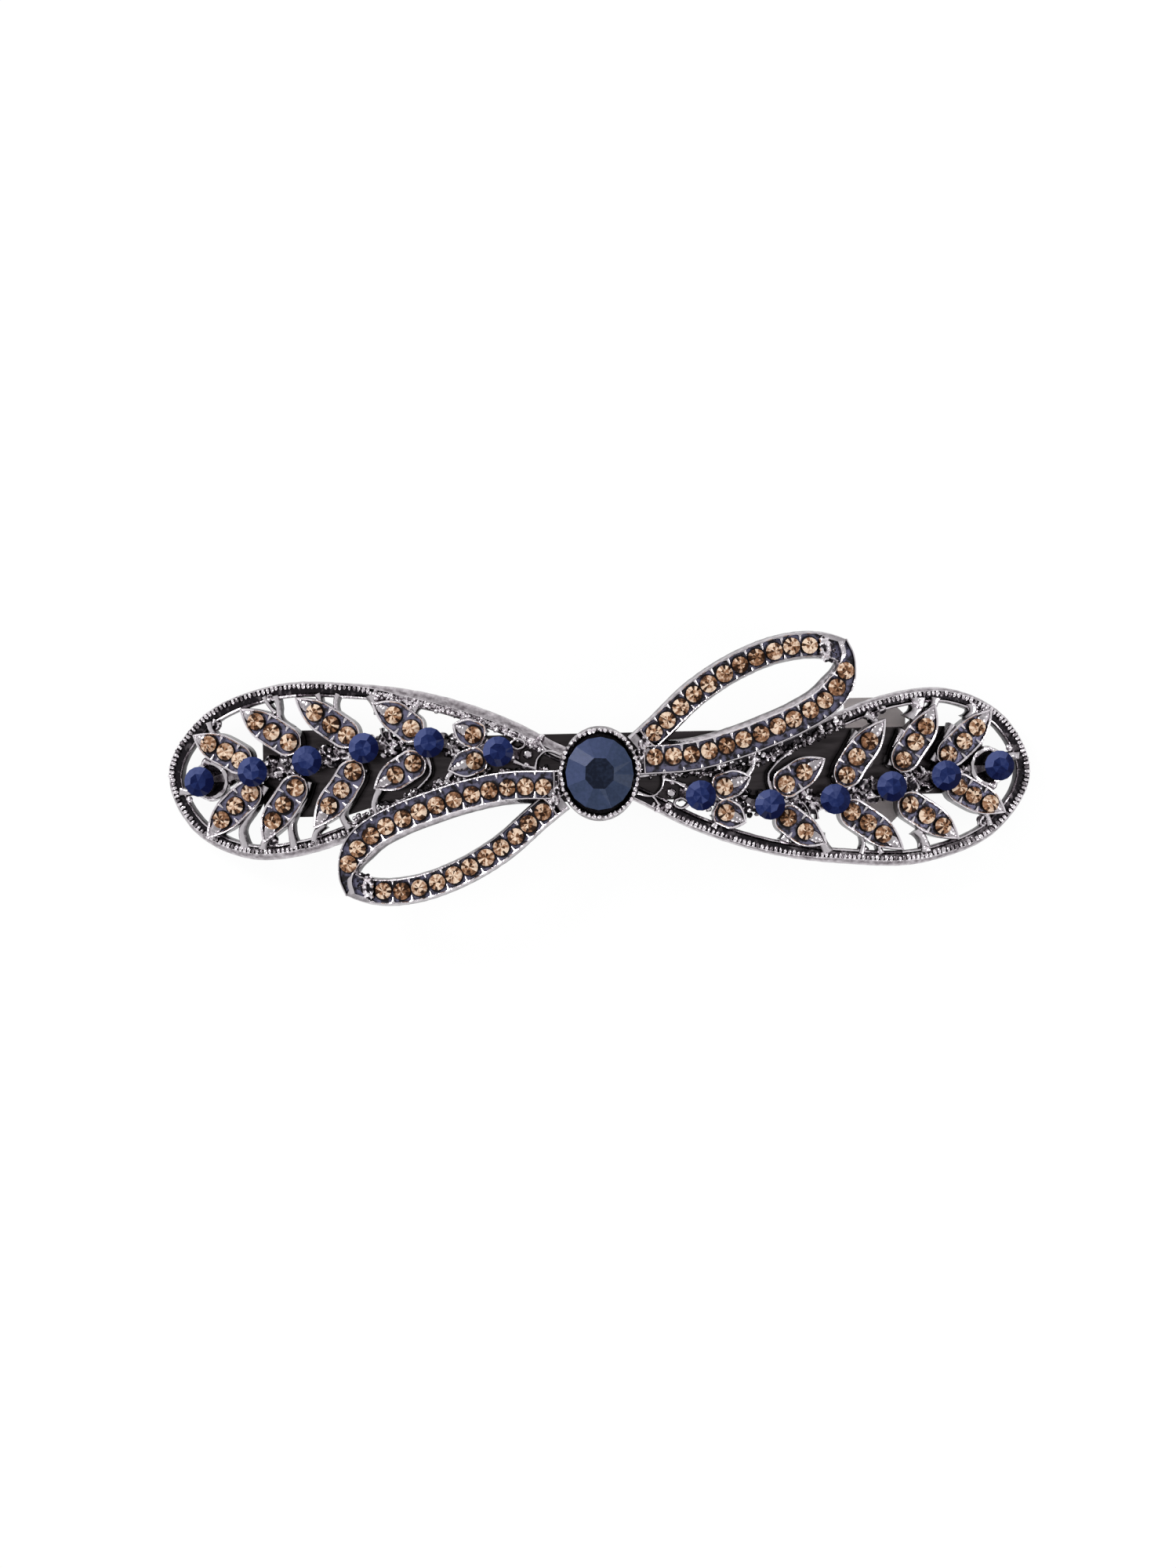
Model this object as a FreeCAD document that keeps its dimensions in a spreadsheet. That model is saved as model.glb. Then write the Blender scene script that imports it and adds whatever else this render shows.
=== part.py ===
"""Rhinestone bow hair clip on a sprung barrette, in millimetres, +Z up.

The clip lies on its closed locking arm.  X runs from the hinge to the catch,
Y runs across the clip, and the origin is on the arm's flat underside.
"""
import FreeCAD, Part
import math
import os
import Sketcher
from FreeCAD import Placement, Rotation, Vector

doc = FreeCAD.newDocument("rhinestone_hair_clip")
sheet = doc.addObject("Spreadsheet::Sheet", "Sizes")

SIZES = {
    # the arch that plate and bow share: a cylinder about Y
    "arch_radius": 170.0,
    "arch_top": 8.0,
    # base plate
    "plate_thick": 0.7,
    "plate_width": 7.5,
    "plate_left": -37.3,
    "plate_right": 42.7,
    "shoulder_width": 9.6,
    "shoulder_end": -28.2,
    "taper_end": -24.7,
    "ear_thick": 0.7,
    "ear_rad": 1.3,
    # hinge
    "hinge_along": -35.3,
    "hinge_up": 1.3,
    "pin_rad": 0.6,
    "pin_head_rad": 0.95,
    "pin_head_long": 0.35,
    "running_gap": 0.05,
    "press_gap": 0.01,
    # locking arm
    "arm_thick": 0.7,
    "arm_width": 5.8,
    "arm_root_width": 7.8,
    "arm_root_end": -31.5,
    "arm_slot_end": -33.4,
    "knuckle_inner": 1.6,
    "crank_start": 24.5,
    "crank_end": 26.6,
    "crank_rise": 0.9,
    "arm_end": 39.2,
    "arm_end_width": 6.6,
    "window_left": 28.0,
    "window_right": 33.7,
    "window_half": 2.45,
    "lip_rad": 0.75,
    # tension bar
    "bar_thick": 0.4,
    "bar_width": 4.4,
    "bar_neck": 2.8,
    "bar_neck_end": -32.2,
    "bar_end": 22.0,
    "bar_low": 0.85,
    "bar_bow": 0.75,
    "bar_eye_rad": 1.1,
    # catch
    "bridge_left": 27.2,
    "bridge_right": 34.6,
    "bridge_half": 3.4,
    "bridge_thick": 0.4,
    "slide_gap": 0.06,
    "keeper_half": 1.9,
    "keeper_left": 28.0,
    "keeper_right": 33.8,
    "post_half": 0.6,
    "jaw_left": 28.3,
    "jaw_right": 33.4,
    "jaw_inner": 1.8,
    "jaw_thick": 0.45,
    "jaw_foot": 0.2,
    "jaw_flange_inner": 1.25,
    "jaw_upper_inner": 2.75,
    "barb_reach": 0.15,
    "barb_low": 0.35,
    "barb_high": 0.75,
    "tab_left": 27.4,
    "tab_right": 34.2,
    "tab_reach": 7.1,
    "tab_slope": 2.0,
    "tab_low": 1.9,
    "tab_thick": 0.4,
    "rivet_rad": 0.5,
    "rivet_head_rad": 0.9,
    "rivet_head_high": 0.25,
    "rivet_left": 29.4,
    "rivet_right": 32.4,
    # bow, measured from the middle of the centre stone
    "bow_turn": -1.27,
    "bow_shift": -0.71,
    "solder_thick": 0.3,
    "solder_rad": 1.5,
    "rim_top": 1.9,
    "rim_width": 1.7,
    "leaf_top": 2.3,
    "leaf_width": 3.4,
    "small_leaf_width": 2.9,
    "spine_width": 1.5,
    "strut_width": 0.9,
    "cup_rad": 1.9,
    "cup_top": 3.3,
    "loop_low": 1.95,
    "loop_top": 3.75,
    "loop_tilt": 1.4,
    "foot_rad": 0.6,
    "trim_gap": 0.03,
    # stones: radius, height of the crown and depth of the point
    "leaf_stone_rad": 0.98,
    "loop_stone_rad": 0.94,
    "small_crown": 0.42,
    "small_point": 1.05,
    "navy_rad": 1.68,
    "navy_crown": 0.62,
    "navy_point": 1.4,
    "girdle_high": 0.12,
    "table_share": 0.55,
    "seat_gap": 0.03,
    # centre bezel and stone
    "bezel_half_along": 4.4,
    "bezel_half_across": 5.2,
    "bezel_high": 4.6,
    "bezel_wall": 0.55,
    "bezel_floor": 0.9,
    "centre_half_along": 3.72,
    "centre_half_across": 4.0,
    "centre_girdle": 12.3,
    "centre_crown": 1.25,
    "centre_point": 2.6,
    "centre_table": 0.43,
}
for row, (alias, value) in enumerate(SIZES.items(), start=1):
    sheet.set(f"A{row}", alias)
    sheet.set(f"B{row}", str(value))
    sheet.setAlias(f"B{row}", alias)
doc.recompute()


def size(alias):
    """The value of one named cell."""
    return float(sheet.get(alias))


UP = Vector(0, 0, 1)
ARCH_RADIUS = size("arch_radius")
ARCH_CENTRE = Vector(0, 0, size("arch_top") - ARCH_RADIUS)


# ---------------------------------------------------------------- helpers

def value_of(expression):
    """The present value of an expression over the sheet's cells."""
    return float(sheet.evalExpression(expression))


def add(kind, label, **sizes):
    """Add a Part object whose properties are bound to expressions."""
    thing = doc.addObject(kind, label)
    thing.Label = label
    for name, expression in sizes.items():
        thing.setExpression(name, expression)
    return thing


def place(thing, x="0", y="0", z="0", rotation=None):
    """Give a placement whose three offsets are bound to expressions."""
    if rotation is not None:
        thing.Placement = Placement(Vector(), rotation)
    for axis, expression in zip("xyz", (x, y, z)):
        thing.setExpression(f"Placement.Base.{axis}", expression)
    return thing


def box(label, x0, x1, y0, y1, z0, z1):
    """A box between six expressions."""
    thing = add("Part::Box", label, Length=f"({x1}) - ({x0})", Width=f"({y1}) - ({y0})",
                Height=f"({z1}) - ({z0})")
    return place(thing, x0, y0, z0)


def side_box(label, side, x0, x1, y0, y1, z0, z1):
    """A box on the back (side 1) or the front (side -1) of the clip's middle plane."""
    near, far = (y0, y1) if side > 0 else (f"-({y1})", f"-({y0})")
    return box(label, x0, x1, near, far, z0, z1)


def rod_y(label, radius, x, z, y0, y1):
    """A cylinder along Y between two y expressions."""
    thing = add("Part::Cylinder", label, Radius=radius, Height=f"({y1}) - ({y0})")
    return place(thing, x, y1, z, Rotation(Vector(1, 0, 0), 90))


def cut(label, base, tool):
    thing = doc.addObject("Part::Cut", label)
    thing.Label = label
    thing.Base, thing.Tool = base, tool
    return thing


def fuse(label, *pieces):
    thing = doc.addObject("Part::MultiFuse", label)
    thing.Label = label
    thing.Shapes = list(pieces)
    thing.Refine = True
    return thing


def common(label, one, other):
    thing = doc.addObject("Part::MultiCommon", label)
    thing.Label = label
    thing.Shapes = [one, other]
    return thing


ARCH_MIDDLE = "Sizes.arch_top - Sizes.arch_radius"
TALL = ("-6", "20")
BEYOND = "60"


def arch_layer(label, inner, outer):
    """The layer of the arch between two radii."""
    outside = rod_y(label + "_outside", outer, "0", ARCH_MIDDLE, "-" + BEYOND, BEYOND)
    inside = rod_y(label + "_inside", inner, "0", ARCH_MIDDLE, "-" + BEYOND, BEYOND)
    return cut(label, outside, inside)


def polygon_body(label, plane_role, corners, length, midplane):
    """A PartDesign body: straight-sided outline on an origin plane, then a Pad.

    Each corner is a pair of expressions, and each is held by its own two dimensions.
    """
    body = doc.addObject("PartDesign::Body", label)
    body.Label = label
    sketch = body.newObject("Sketcher::SketchObject", label + "_outline")
    plane = [f for f in body.Origin.OriginFeatures if f.Role == plane_role][0]
    sketch.AttachmentSupport = [(plane, "")]
    sketch.MapMode = "FlatFace"
    doc.recompute()
    spots = [tuple(value_of(part) for part in corner) for corner in corners]
    count = len(corners)
    for start, spot in enumerate(spots):
        following = spots[(start + 1) % count]
        sketch.addGeometry(Part.LineSegment(Vector(*spot, 0), Vector(*following, 0)), False)
    for start in range(count):
        sketch.addConstraint(
            Sketcher.Constraint("Coincident", start, 2, (start + 1) % count, 1))
    for start, (corner, spot) in enumerate(zip(corners, spots)):
        for kind, expression, value in zip(("DistanceX", "DistanceY"), corner, spot):
            at = sketch.addConstraint(Sketcher.Constraint(kind, start, 1, value))
            sketch.setExpression(f"Constraints[{at}]", expression)
    pad = body.newObject("PartDesign::Pad", label + "_pad")
    pad.Profile = sketch
    pad.Midplane = midplane
    pad.setExpression("Length", length)
    body.Tip = pad
    return body


def keep(name, thing):
    """Note a finished sub-part under its node name."""
    thing.Label = name
    nodes[name] = thing
    return thing


nodes = {}

# ---------------------------------------------------------------- base plate

plate_plan = polygon_body("plate_plan", "XY_Plane", [
    ("Sizes.plate_left", "-Sizes.shoulder_width / 2"),
    ("Sizes.shoulder_end", "-Sizes.shoulder_width / 2"),
    ("Sizes.taper_end", "-Sizes.plate_width / 2"),
    ("Sizes.plate_right - 1", "-Sizes.plate_width / 2"),
    ("Sizes.plate_right", "-Sizes.plate_width / 2 + 1"),
    ("Sizes.plate_right", "Sizes.plate_width / 2 - 1"),
    ("Sizes.plate_right - 1", "Sizes.plate_width / 2"),
    ("Sizes.taper_end", "Sizes.plate_width / 2"),
    ("Sizes.shoulder_end", "Sizes.shoulder_width / 2"),
    ("Sizes.plate_left", "Sizes.shoulder_width / 2"),
], "20", False)
plate_bent = common("plate_bent", plate_plan, arch_layer(
    "plate_layer", "Sizes.arch_radius - Sizes.plate_thick", "Sizes.arch_radius"))


def plate_ear(label, side):
    """A lug bent down from the plate's shoulder, which carries one end of the pin."""
    near, far = "Sizes.shoulder_width / 2 - Sizes.ear_thick", "Sizes.shoulder_width / 2"
    lug = side_box(label + "_lug", side, "Sizes.hinge_along - Sizes.ear_rad",
                   "Sizes.hinge_along + Sizes.ear_rad", near, far,
                   "Sizes.hinge_up", "Sizes.hinge_up + 5")
    y0, y1 = (near, far) if side > 0 else (f"-({far})", f"-({near})")
    foot = rod_y(label + "_foot", "Sizes.ear_rad", "Sizes.hinge_along", "Sizes.hinge_up",
                 y0, y1)
    under_arch = rod_y(label + "_under_arch", "Sizes.arch_radius - 0.2", "0", ARCH_MIDDLE,
                       "-" + BEYOND, BEYOND)
    return common(label, fuse(label + "_whole", lug, foot), under_arch)


plate_with_ears = fuse("plate_with_ears", plate_bent, plate_ear("ear_back", 1),
                       plate_ear("ear_front", -1))
pin_hole = rod_y("pin_hole", "Sizes.pin_rad + Sizes.press_gap", "Sizes.hinge_along",
                 "Sizes.hinge_up", "-9", "9")


def rivet_hole(label, x):
    """A round hole through plate and bridge for one catch rivet."""
    hole = add("Part::Cylinder", label, Radius="Sizes.rivet_rad + Sizes.press_gap",
               Height="12")
    return place(hole, x)


def rivet_holes(label):
    return fuse(label, rivet_hole(label + "_left", "Sizes.rivet_left"),
                rivet_hole(label + "_right", "Sizes.rivet_right"))


plate_drilled = cut("plate_drilled", plate_with_ears, pin_hole)
keep("base_plate", cut("plate_holed", plate_drilled, rivet_holes("plate_holes")))

# ---------------------------------------------------------------- hinge pin

PIN_HEAD_IN = "Sizes.shoulder_width / 2 + Sizes.press_gap"
PIN_HEAD_OUT = PIN_HEAD_IN + " + Sizes.pin_head_long"


def pin_length(label, radius, y0, y1):
    return rod_y(label, radius, "Sizes.hinge_along", "Sizes.hinge_up", y0, y1)


keep("hinge_pin", fuse(
    "pin_whole",
    pin_length("pin_shaft", "Sizes.pin_rad", f"-({PIN_HEAD_OUT})", PIN_HEAD_OUT),
    pin_length("pin_head_back", "Sizes.pin_head_rad", PIN_HEAD_IN, PIN_HEAD_OUT),
    pin_length("pin_head_front", "Sizes.pin_head_rad", f"-({PIN_HEAD_OUT})",
               f"-({PIN_HEAD_IN})")))

# ---------------------------------------------------------------- locking arm

CRANK_TOP = "Sizes.crank_rise + Sizes.arm_thick"
arm_strip = polygon_body("arm_strip", "XZ_Plane", [
    ("Sizes.hinge_along", "0"),
    ("Sizes.crank_start", "0"),
    ("Sizes.crank_end", "Sizes.crank_rise"),
    ("Sizes.arm_end", "Sizes.crank_rise"),
    ("Sizes.arm_end", CRANK_TOP),
    ("Sizes.crank_end - Sizes.arm_thick / 3", CRANK_TOP),
    ("Sizes.crank_start - Sizes.arm_thick / 3", "Sizes.arm_thick"),
    ("Sizes.hinge_along", "Sizes.arm_thick"),
], "Sizes.arm_width", True)
arm_root = box("arm_root", "Sizes.hinge_along", "Sizes.arm_root_end",
               "-Sizes.arm_root_width / 2", "Sizes.arm_root_width / 2",
               "0", "Sizes.arm_thick")
arm_barrel = rod_y("arm_barrel", "Sizes.hinge_up", "Sizes.hinge_along", "Sizes.hinge_up",
                   "-Sizes.arm_root_width / 2", "Sizes.arm_root_width / 2")
arm_palm = box("arm_palm", "Sizes.crank_end", "Sizes.arm_end", "-Sizes.arm_end_width / 2",
               "Sizes.arm_end_width / 2", "Sizes.crank_rise", CRANK_TOP)
arm_lip = rod_y("arm_lip", "Sizes.lip_rad", "Sizes.arm_end",
                "Sizes.crank_rise + Sizes.lip_rad", "-Sizes.arm_end_width / 2",
                "Sizes.arm_end_width / 2")
arm_solid = fuse("arm_solid", arm_strip, arm_root, arm_barrel, arm_palm, arm_lip)
arm_gaps = fuse(
    "arm_gaps",
    box("arm_slot", "Sizes.hinge_along - 3", "Sizes.arm_slot_end", "-Sizes.knuckle_inner",
        "Sizes.knuckle_inner", "-1", "4"),
    rod_y("arm_bore", "Sizes.pin_rad + Sizes.running_gap", "Sizes.hinge_along",
          "Sizes.hinge_up", "-9", "9"),
    box("arm_window", "Sizes.window_left", "Sizes.window_right", "-Sizes.window_half",
        "Sizes.window_half", "0", "4"))
keep("locking_arm", cut("arm_whole", arm_solid, arm_gaps))

# ---------------------------------------------------------------- tension bar

BAR_HALF = "(Sizes.bar_end - Sizes.hinge_along) / 2"
BAR_MID = "(Sizes.bar_end + Sizes.hinge_along) / 2"
BAR_RADIUS = f"(({BAR_HALF}) ^ 2 + Sizes.bar_bow ^ 2) / (2 * Sizes.bar_bow)"
BAR_CENTRE_UP = f"Sizes.bar_low + Sizes.bar_bow - ({BAR_RADIUS})"
bar_layer = cut(
    "bar_layer",
    rod_y("bar_layer_outside", f"{BAR_RADIUS} + Sizes.bar_thick", BAR_MID, BAR_CENTRE_UP,
          "-9", "9"),
    rod_y("bar_layer_inside", BAR_RADIUS, BAR_MID, BAR_CENTRE_UP, "-9", "9"))
bar_plan = fuse(
    "bar_plan",
    box("bar_blade", "Sizes.bar_neck_end", "Sizes.bar_end", "-Sizes.bar_width / 2",
        "Sizes.bar_width / 2", *TALL),
    box("bar_neck_strip", "Sizes.hinge_along", "Sizes.bar_neck_end", "-Sizes.bar_neck / 2",
        "Sizes.bar_neck / 2", *TALL))
bar_eye = rod_y("bar_eye", "Sizes.bar_eye_rad", "Sizes.hinge_along", "Sizes.hinge_up",
                "-Sizes.bar_neck / 2", "Sizes.bar_neck / 2")
bar_solid = fuse("bar_solid", common("bar_bent", bar_plan, bar_layer), bar_eye)
bar_bore = rod_y("bar_bore", "Sizes.pin_rad + Sizes.running_gap", "Sizes.hinge_along",
                 "Sizes.hinge_up", "-9", "9")
keep("tension_bar", cut("bar_whole", bar_solid, bar_bore))

# ---------------------------------------------------------------- catch

BRIDGE_OUT = "Sizes.arch_radius - Sizes.plate_thick"
BRIDGE_IN = BRIDGE_OUT + " - Sizes.bridge_thick"
FLANGE_OUT = BRIDGE_IN + " - Sizes.slide_gap"
FLANGE_IN = FLANGE_OUT + " - Sizes.jaw_thick"
KEEPER_OUT = FLANGE_IN + " - Sizes.slide_gap"
KEEPER_IN = KEEPER_OUT + " - Sizes.bridge_thick"


def curved_strip(label, x0, x1, half, inner, outer):
    """A strip of one arch layer, even about the middle plane."""
    block = box(label + "_block", x0, x1, f"-({half})", half, *TALL)
    return common(label, block, arch_layer(label + "_layer", inner, outer))


bridge_solid = fuse(
    "bridge_solid",
    curved_strip("bridge_web", "Sizes.bridge_left", "Sizes.bridge_right",
                 "Sizes.bridge_half", BRIDGE_IN, BRIDGE_OUT),
    curved_strip("bridge_post", "Sizes.keeper_left", "Sizes.keeper_right",
                 "Sizes.post_half", KEEPER_IN, BRIDGE_OUT),
    curved_strip("bridge_keeper", "Sizes.keeper_left", "Sizes.keeper_right",
                 "Sizes.keeper_half", KEEPER_IN, KEEPER_OUT))
keep("catch_bridge", cut("bridge_whole", bridge_solid, rivet_holes("bridge_holes")))


def catch_jaw(name, side):
    """One sprung leg of the catch: a flange in the bridge, a finger tab and a barb."""
    flange = common(
        name + "_flange",
        side_box(name + "_flange_block", side, "Sizes.jaw_left", "Sizes.jaw_right",
                 "Sizes.jaw_flange_inner", "Sizes.jaw_upper_inner + Sizes.jaw_thick", *TALL),
        arch_layer(name + "_flange_layer", FLANGE_IN, FLANGE_OUT))
    upper = common(
        name + "_upper",
        side_box(name + "_upper_block", side, "Sizes.jaw_left", "Sizes.jaw_right",
                 "Sizes.jaw_upper_inner", "Sizes.jaw_upper_inner + Sizes.jaw_thick",
                 "Sizes.tab_low", "12"),
        rod_y(name + "_upper_limit", FLANGE_OUT, "0", ARCH_MIDDLE, "-" + BEYOND, BEYOND))
    lower = side_box(name + "_lower", side, "Sizes.jaw_left", "Sizes.jaw_right",
                     "Sizes.jaw_inner", "Sizes.jaw_inner + Sizes.jaw_thick",
                     "Sizes.jaw_foot", "Sizes.tab_low + Sizes.tab_thick")
    barb = side_box(name + "_barb", side, "Sizes.jaw_left", "Sizes.jaw_right",
                    "Sizes.jaw_inner",
                    "Sizes.jaw_inner + Sizes.jaw_thick + Sizes.barb_reach",
                    "Sizes.barb_low", "Sizes.barb_high")
    tab = polygon_body(name + "_tab", "XY_Plane", [
        ("Sizes.tab_left", f"{side} * Sizes.jaw_inner"),
        ("Sizes.tab_right", f"{side} * Sizes.jaw_inner"),
        ("Sizes.tab_right", f"{side} * (Sizes.tab_reach - Sizes.tab_slope)"),
        ("Sizes.tab_right - Sizes.tab_slope", f"{side} * Sizes.tab_reach"),
        ("Sizes.tab_left + Sizes.tab_slope / 4", f"{side} * Sizes.tab_reach"),
        ("Sizes.tab_left", f"{side} * (Sizes.tab_reach - Sizes.tab_slope / 4)"),
    ], "Sizes.tab_thick", False)
    place(tab, z="Sizes.tab_low")
    keep(name, fuse(name + "_whole", flange, upper, lower, barb, tab))


catch_jaw("catch_jaw_back", 1)
catch_jaw("catch_jaw_front", -1)


def catch_rivet(label, x):
    """One rivet through plate, bridge and post, with a flat head at each end."""
    shank = add("Part::Cylinder", label + "_shank", Radius="Sizes.rivet_rad", Height="12")
    place(shank, x)
    head = add("Part::Cylinder", label + "_head", Radius="Sizes.rivet_head_rad",
               Height="12")
    place(head, x)
    top = "Sizes.arch_radius + Sizes.rivet_head_high"
    foot = KEEPER_IN + " - Sizes.rivet_head_high"
    return fuse(
        label,
        common(label + "_body", shank, arch_layer(label + "_body_layer", foot, top)),
        common(label + "_top", head,
               arch_layer(label + "_top_layer", "Sizes.arch_radius", top)),
        common(label + "_foot", head,
               arch_layer(label + "_foot_layer", foot, KEEPER_IN)))


rivets = doc.addObject("Part::Compound", "rivet_pair")
rivets.Links = [catch_rivet("rivet_left", "Sizes.rivet_left"),
                catch_rivet("rivet_right", "Sizes.rivet_right")]
keep("catch_rivets", rivets)

# ---------------------------------------------------------------- bow: layout
# Places are along and across from the middle of the centre stone, for the left wing
# and the lower loop.  The right wing and the upper loop are the same, half a turn on.

NAVY_SPOTS = [(-44.3, -0.9), (-38.3, 0.2), (-32.2, 1.4), (-25.9, 2.8), (-18.7, 3.4),
              (-11.1, 2.4)]
SPINE_END = (-3.5, 1.1)

# each leaf: its tip, then its stones from the tip to the base
UPPER_LEAVES = [
    [(-45.2, 4.3), (-43.3, 3.25), (-41.5, 2.4), (-39.8, 1.45)],
    [(-39.9, 7.2), (-38.0, 5.8), (-36.2, 4.6), (-34.3, 3.4)],
    [(-33.7, 8.4), (-31.4, 6.7), (-29.6, 5.4), (-27.8, 4.2)],
    [(-25.1, 7.7), (-22.7, 6.4), (-20.7, 4.9)],
    [(-16.2, 5.4), (-13.9, 4.3)],
]
LOWER_LEAVES = [
    [(-43.6, -7.2), (-41.85, -5.15), (-40.4, -3.6), (-38.7, -2.1)],
    [(-37.2, -7.7), (-36.1, -5.25), (-34.9, -3.5), (-33.6, -1.5)],
    [(-31.6, -6.1), (-29.8, -3.6), (-28.4, -1.8), (-27.2, 0.2)],
    [(-24.9, -1.7), (-22.5, -0.2), (-20.5, 1.1)],
    [(-16.7, 0.3), (-13.7, 1.4)],
]

# outer edge of the wing's rim; its last point lies inside the bezel
RIM_OUTLINE = [(-3.8, 3.0), (-10.7, 6.3), (-18.2, 8.7), (-26.7, 9.9), (-36.8, 9.7),
               (-44.9, 5.9), (-48.2, -0.1), (-45.8, -5.9), (-39.4, -9.4), (-32.3, -8.9),
               (-26.4, -6.8), (-20.0, -3.8), (-12.6, -1.7), (-4.4, -1.2), (1.5, 0.8)]

# short bars between the rim and the leaves or the end cup
STRUTS = [
    [(-43.4, 6.0), (-42.3, 3.8)],
    [(-36.0, 9.0), (-36.9, 6.0)],
    [(-31.3, 9.2), (-30.1, 6.9)],
    [(-28.4, 9.1), (-29.9, 6.9)],
    [(-25.0, 9.2), (-24.6, 7.2)],
    [(-20.2, 7.8), (-21.3, 6.0)],
    [(-12.6, 6.3), (-13.6, 4.9)],
    [(-39.0, -8.8), (-40.6, -5.2)],
    [(-43.2, -7.4), (-42.6, -5.8)],
    [(-37.4, -8.9), (-36.8, -6.8)],
    [(-34.0, -8.9), (-35.0, -5.6)],
    [(-31.2, -8.2), (-31.0, -5.2)],
    [(-27.4, -6.6), (-28.7, -3.9)],
    [(-24.5, -5.2), (-24.3, -1.4)],
    [(-16.8, -2.1), (-16.0, 0.6)],
    [(-47.4, -1.4), (-44.3, -0.9)],
]

# outer edge of the loop, from the bezel out past the wing, round the fold and back,
# and the edge of its opening
LOOP_OUTLINE = [(-3.0, 0.4), (-11.9, -0.55), (-19.3, -2.6), (-23.0, -4.2), (-26.0, -6.3),
                (-28.1, -8.3), (-28.9, -10.6), (-28.3, -12.7), (-26.6, -14.6),
                (-23.2, -15.3), (-19.0, -14.9), (-15.4, -13.4), (-12.2, -11.4),
                (-8.6, -8.2), (-5.3, -5.3), (-1.8, -2.2)]
LOOP_OPENING = [(-9.2, -4.5), (-9.9, -5.9), (-13.4, -8.6), (-17.2, -10.6),
                (-21.3, -11.7), (-25.5, -11.0), (-24.6, -9.7), (-21.7, -7.6),
                (-18.6, -6.1), (-14.6, -4.9), (-11.5, -4.3)]
# middle lines of the strand beside the wing and of the far strand
NEAR_LINE = [(-6.1, -1.55), (-10.2, -1.75), (-16.4, -3.5), (-22.2, -5.7), (-25.8, -7.9),
             (-27.8, -10.7)]
FAR_LINE = [(-6.1, -4.3), (-11.0, -8.7), (-16.3, -11.8), (-20.0, -13.1), (-23.4, -13.5)]
NEAR_STONES = 13
FAR_STONES = 11
LOOP_FOOT = (-7.6, -2.3)

# ---------------------------------------------------------------- bow: helpers

PRISM_LOW = -6.0
PRISM_HIGH = 30.0
LAYER_HALF = 40.0


def bow_spot(spot, turn):
    """A layout place in the clip's frame; turn is 1, or -1 for the half-turned twin."""
    along, across = spot
    turned = Rotation(UP, size("bow_turn")).multVec(Vector(turn * along, turn * across, 0))
    return turned + Vector(0, size("bow_shift"), 0)


def layer(low, high):
    """The layer of the arch from one height to another above the plate's top."""
    start = ARCH_CENTRE - Vector(0, LAYER_HALF, 0)
    ends = [Part.makeCylinder(ARCH_RADIUS + lift, 2 * LAYER_HALF, start, Vector(0, 1, 0))
            for lift in (high, low)]
    return ends[0].cut(ends[1])


def prism(face):
    """A plan face drawn out upwards, high enough to cross every layer."""
    lowered = face.copy()
    lowered.translate(Vector(0, 0, PRISM_LOW))
    return lowered.extrude(Vector(0, 0, PRISM_HIGH))


def raise_face(face, low, high):
    """A plan face stood up between two heights on the arch."""
    return prism(face).common(layer(low, high))


def disc(spot, radius):
    return Part.Face(Part.Wire(Part.Circle(spot, UP, radius).toShape()))


def bar(start, end, width):
    """A straight bar with round ends, in plan."""
    run = (end - start).normalize()
    side = Vector(-run.y, run.x, 0) * (width / 2)
    tip, tail = run * (width / 2), run * (-width / 2)
    edges = [
        Part.LineSegment(start + side, end + side).toShape(),
        Part.Arc(end + side, end + tip, end - side).toShape(),
        Part.LineSegment(end - side, start - side).toShape(),
        Part.Arc(start - side, start + tail, start + side).toShape(),
    ]
    return Part.Face(Part.Wire(edges))


def marquise(tip, base, width):
    """A pointed leaf between two arcs, in plan."""
    run = base - tip
    side = Vector(-run.y, run.x, 0).normalize() * (width / 2)
    middle = (tip + base) / 2
    edges = [Part.Arc(tip, middle + side, base).toShape(),
             Part.Arc(base, middle - side, tip).toShape()]
    return Part.Face(Part.Wire(edges))


def oval(half_along, half_across):
    """The bezel's plan shape about the middle of the centre stone."""
    across = Rotation(UP, size("bow_turn")).multVec(Vector(0, 1, 0))
    middle = bow_spot((0, 0), 1)
    ellipse = Part.Ellipse(middle + across * half_across,
                           middle + across.cross(UP) * half_along, middle)
    return Part.Face(Part.Wire(ellipse.toShape()))


def upright(spot, lift):
    """The placement of something set square on the arch above a plan place."""
    reach = ARCH_RADIUS + lift
    lean = math.asin(spot.x / reach)
    base = ARCH_CENTRE + Vector(reach * math.sin(lean), spot.y, reach * math.cos(lean))
    return Placement(base, Rotation(Vector(0, 1, 0), math.degrees(lean)))


def seated(shape, spot, lift):
    """A copy of a shape, drawn about the origin, set square on the arch."""
    copy = shape.copy()
    copy.Placement = upright(spot, lift)
    return copy


def chaton(radius, crown, point):
    """A round pointed stone: table, crown, girdle and point; its girdle's top is at 0."""
    girdle = size("girdle_high")
    profile = [Vector(0, 0, -girdle - point), Vector(radius, 0, -girdle),
               Vector(radius, 0, 0), Vector(radius * size("table_share"), 0, crown),
               Vector(0, 0, crown), Vector(0, 0, -girdle - point)]
    return Part.Face(Part.makePolygon(profile)).revolve(Vector(), UP, 360)


def seat(radius, point, headroom):
    """The round pocket that one stone sits in, drawn with the stone's own origin."""
    deep = size("girdle_high") + point + size("seat_gap")
    return Part.makeCylinder(radius + size("seat_gap"), deep + headroom,
                             Vector(0, 0, -deep))


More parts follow.
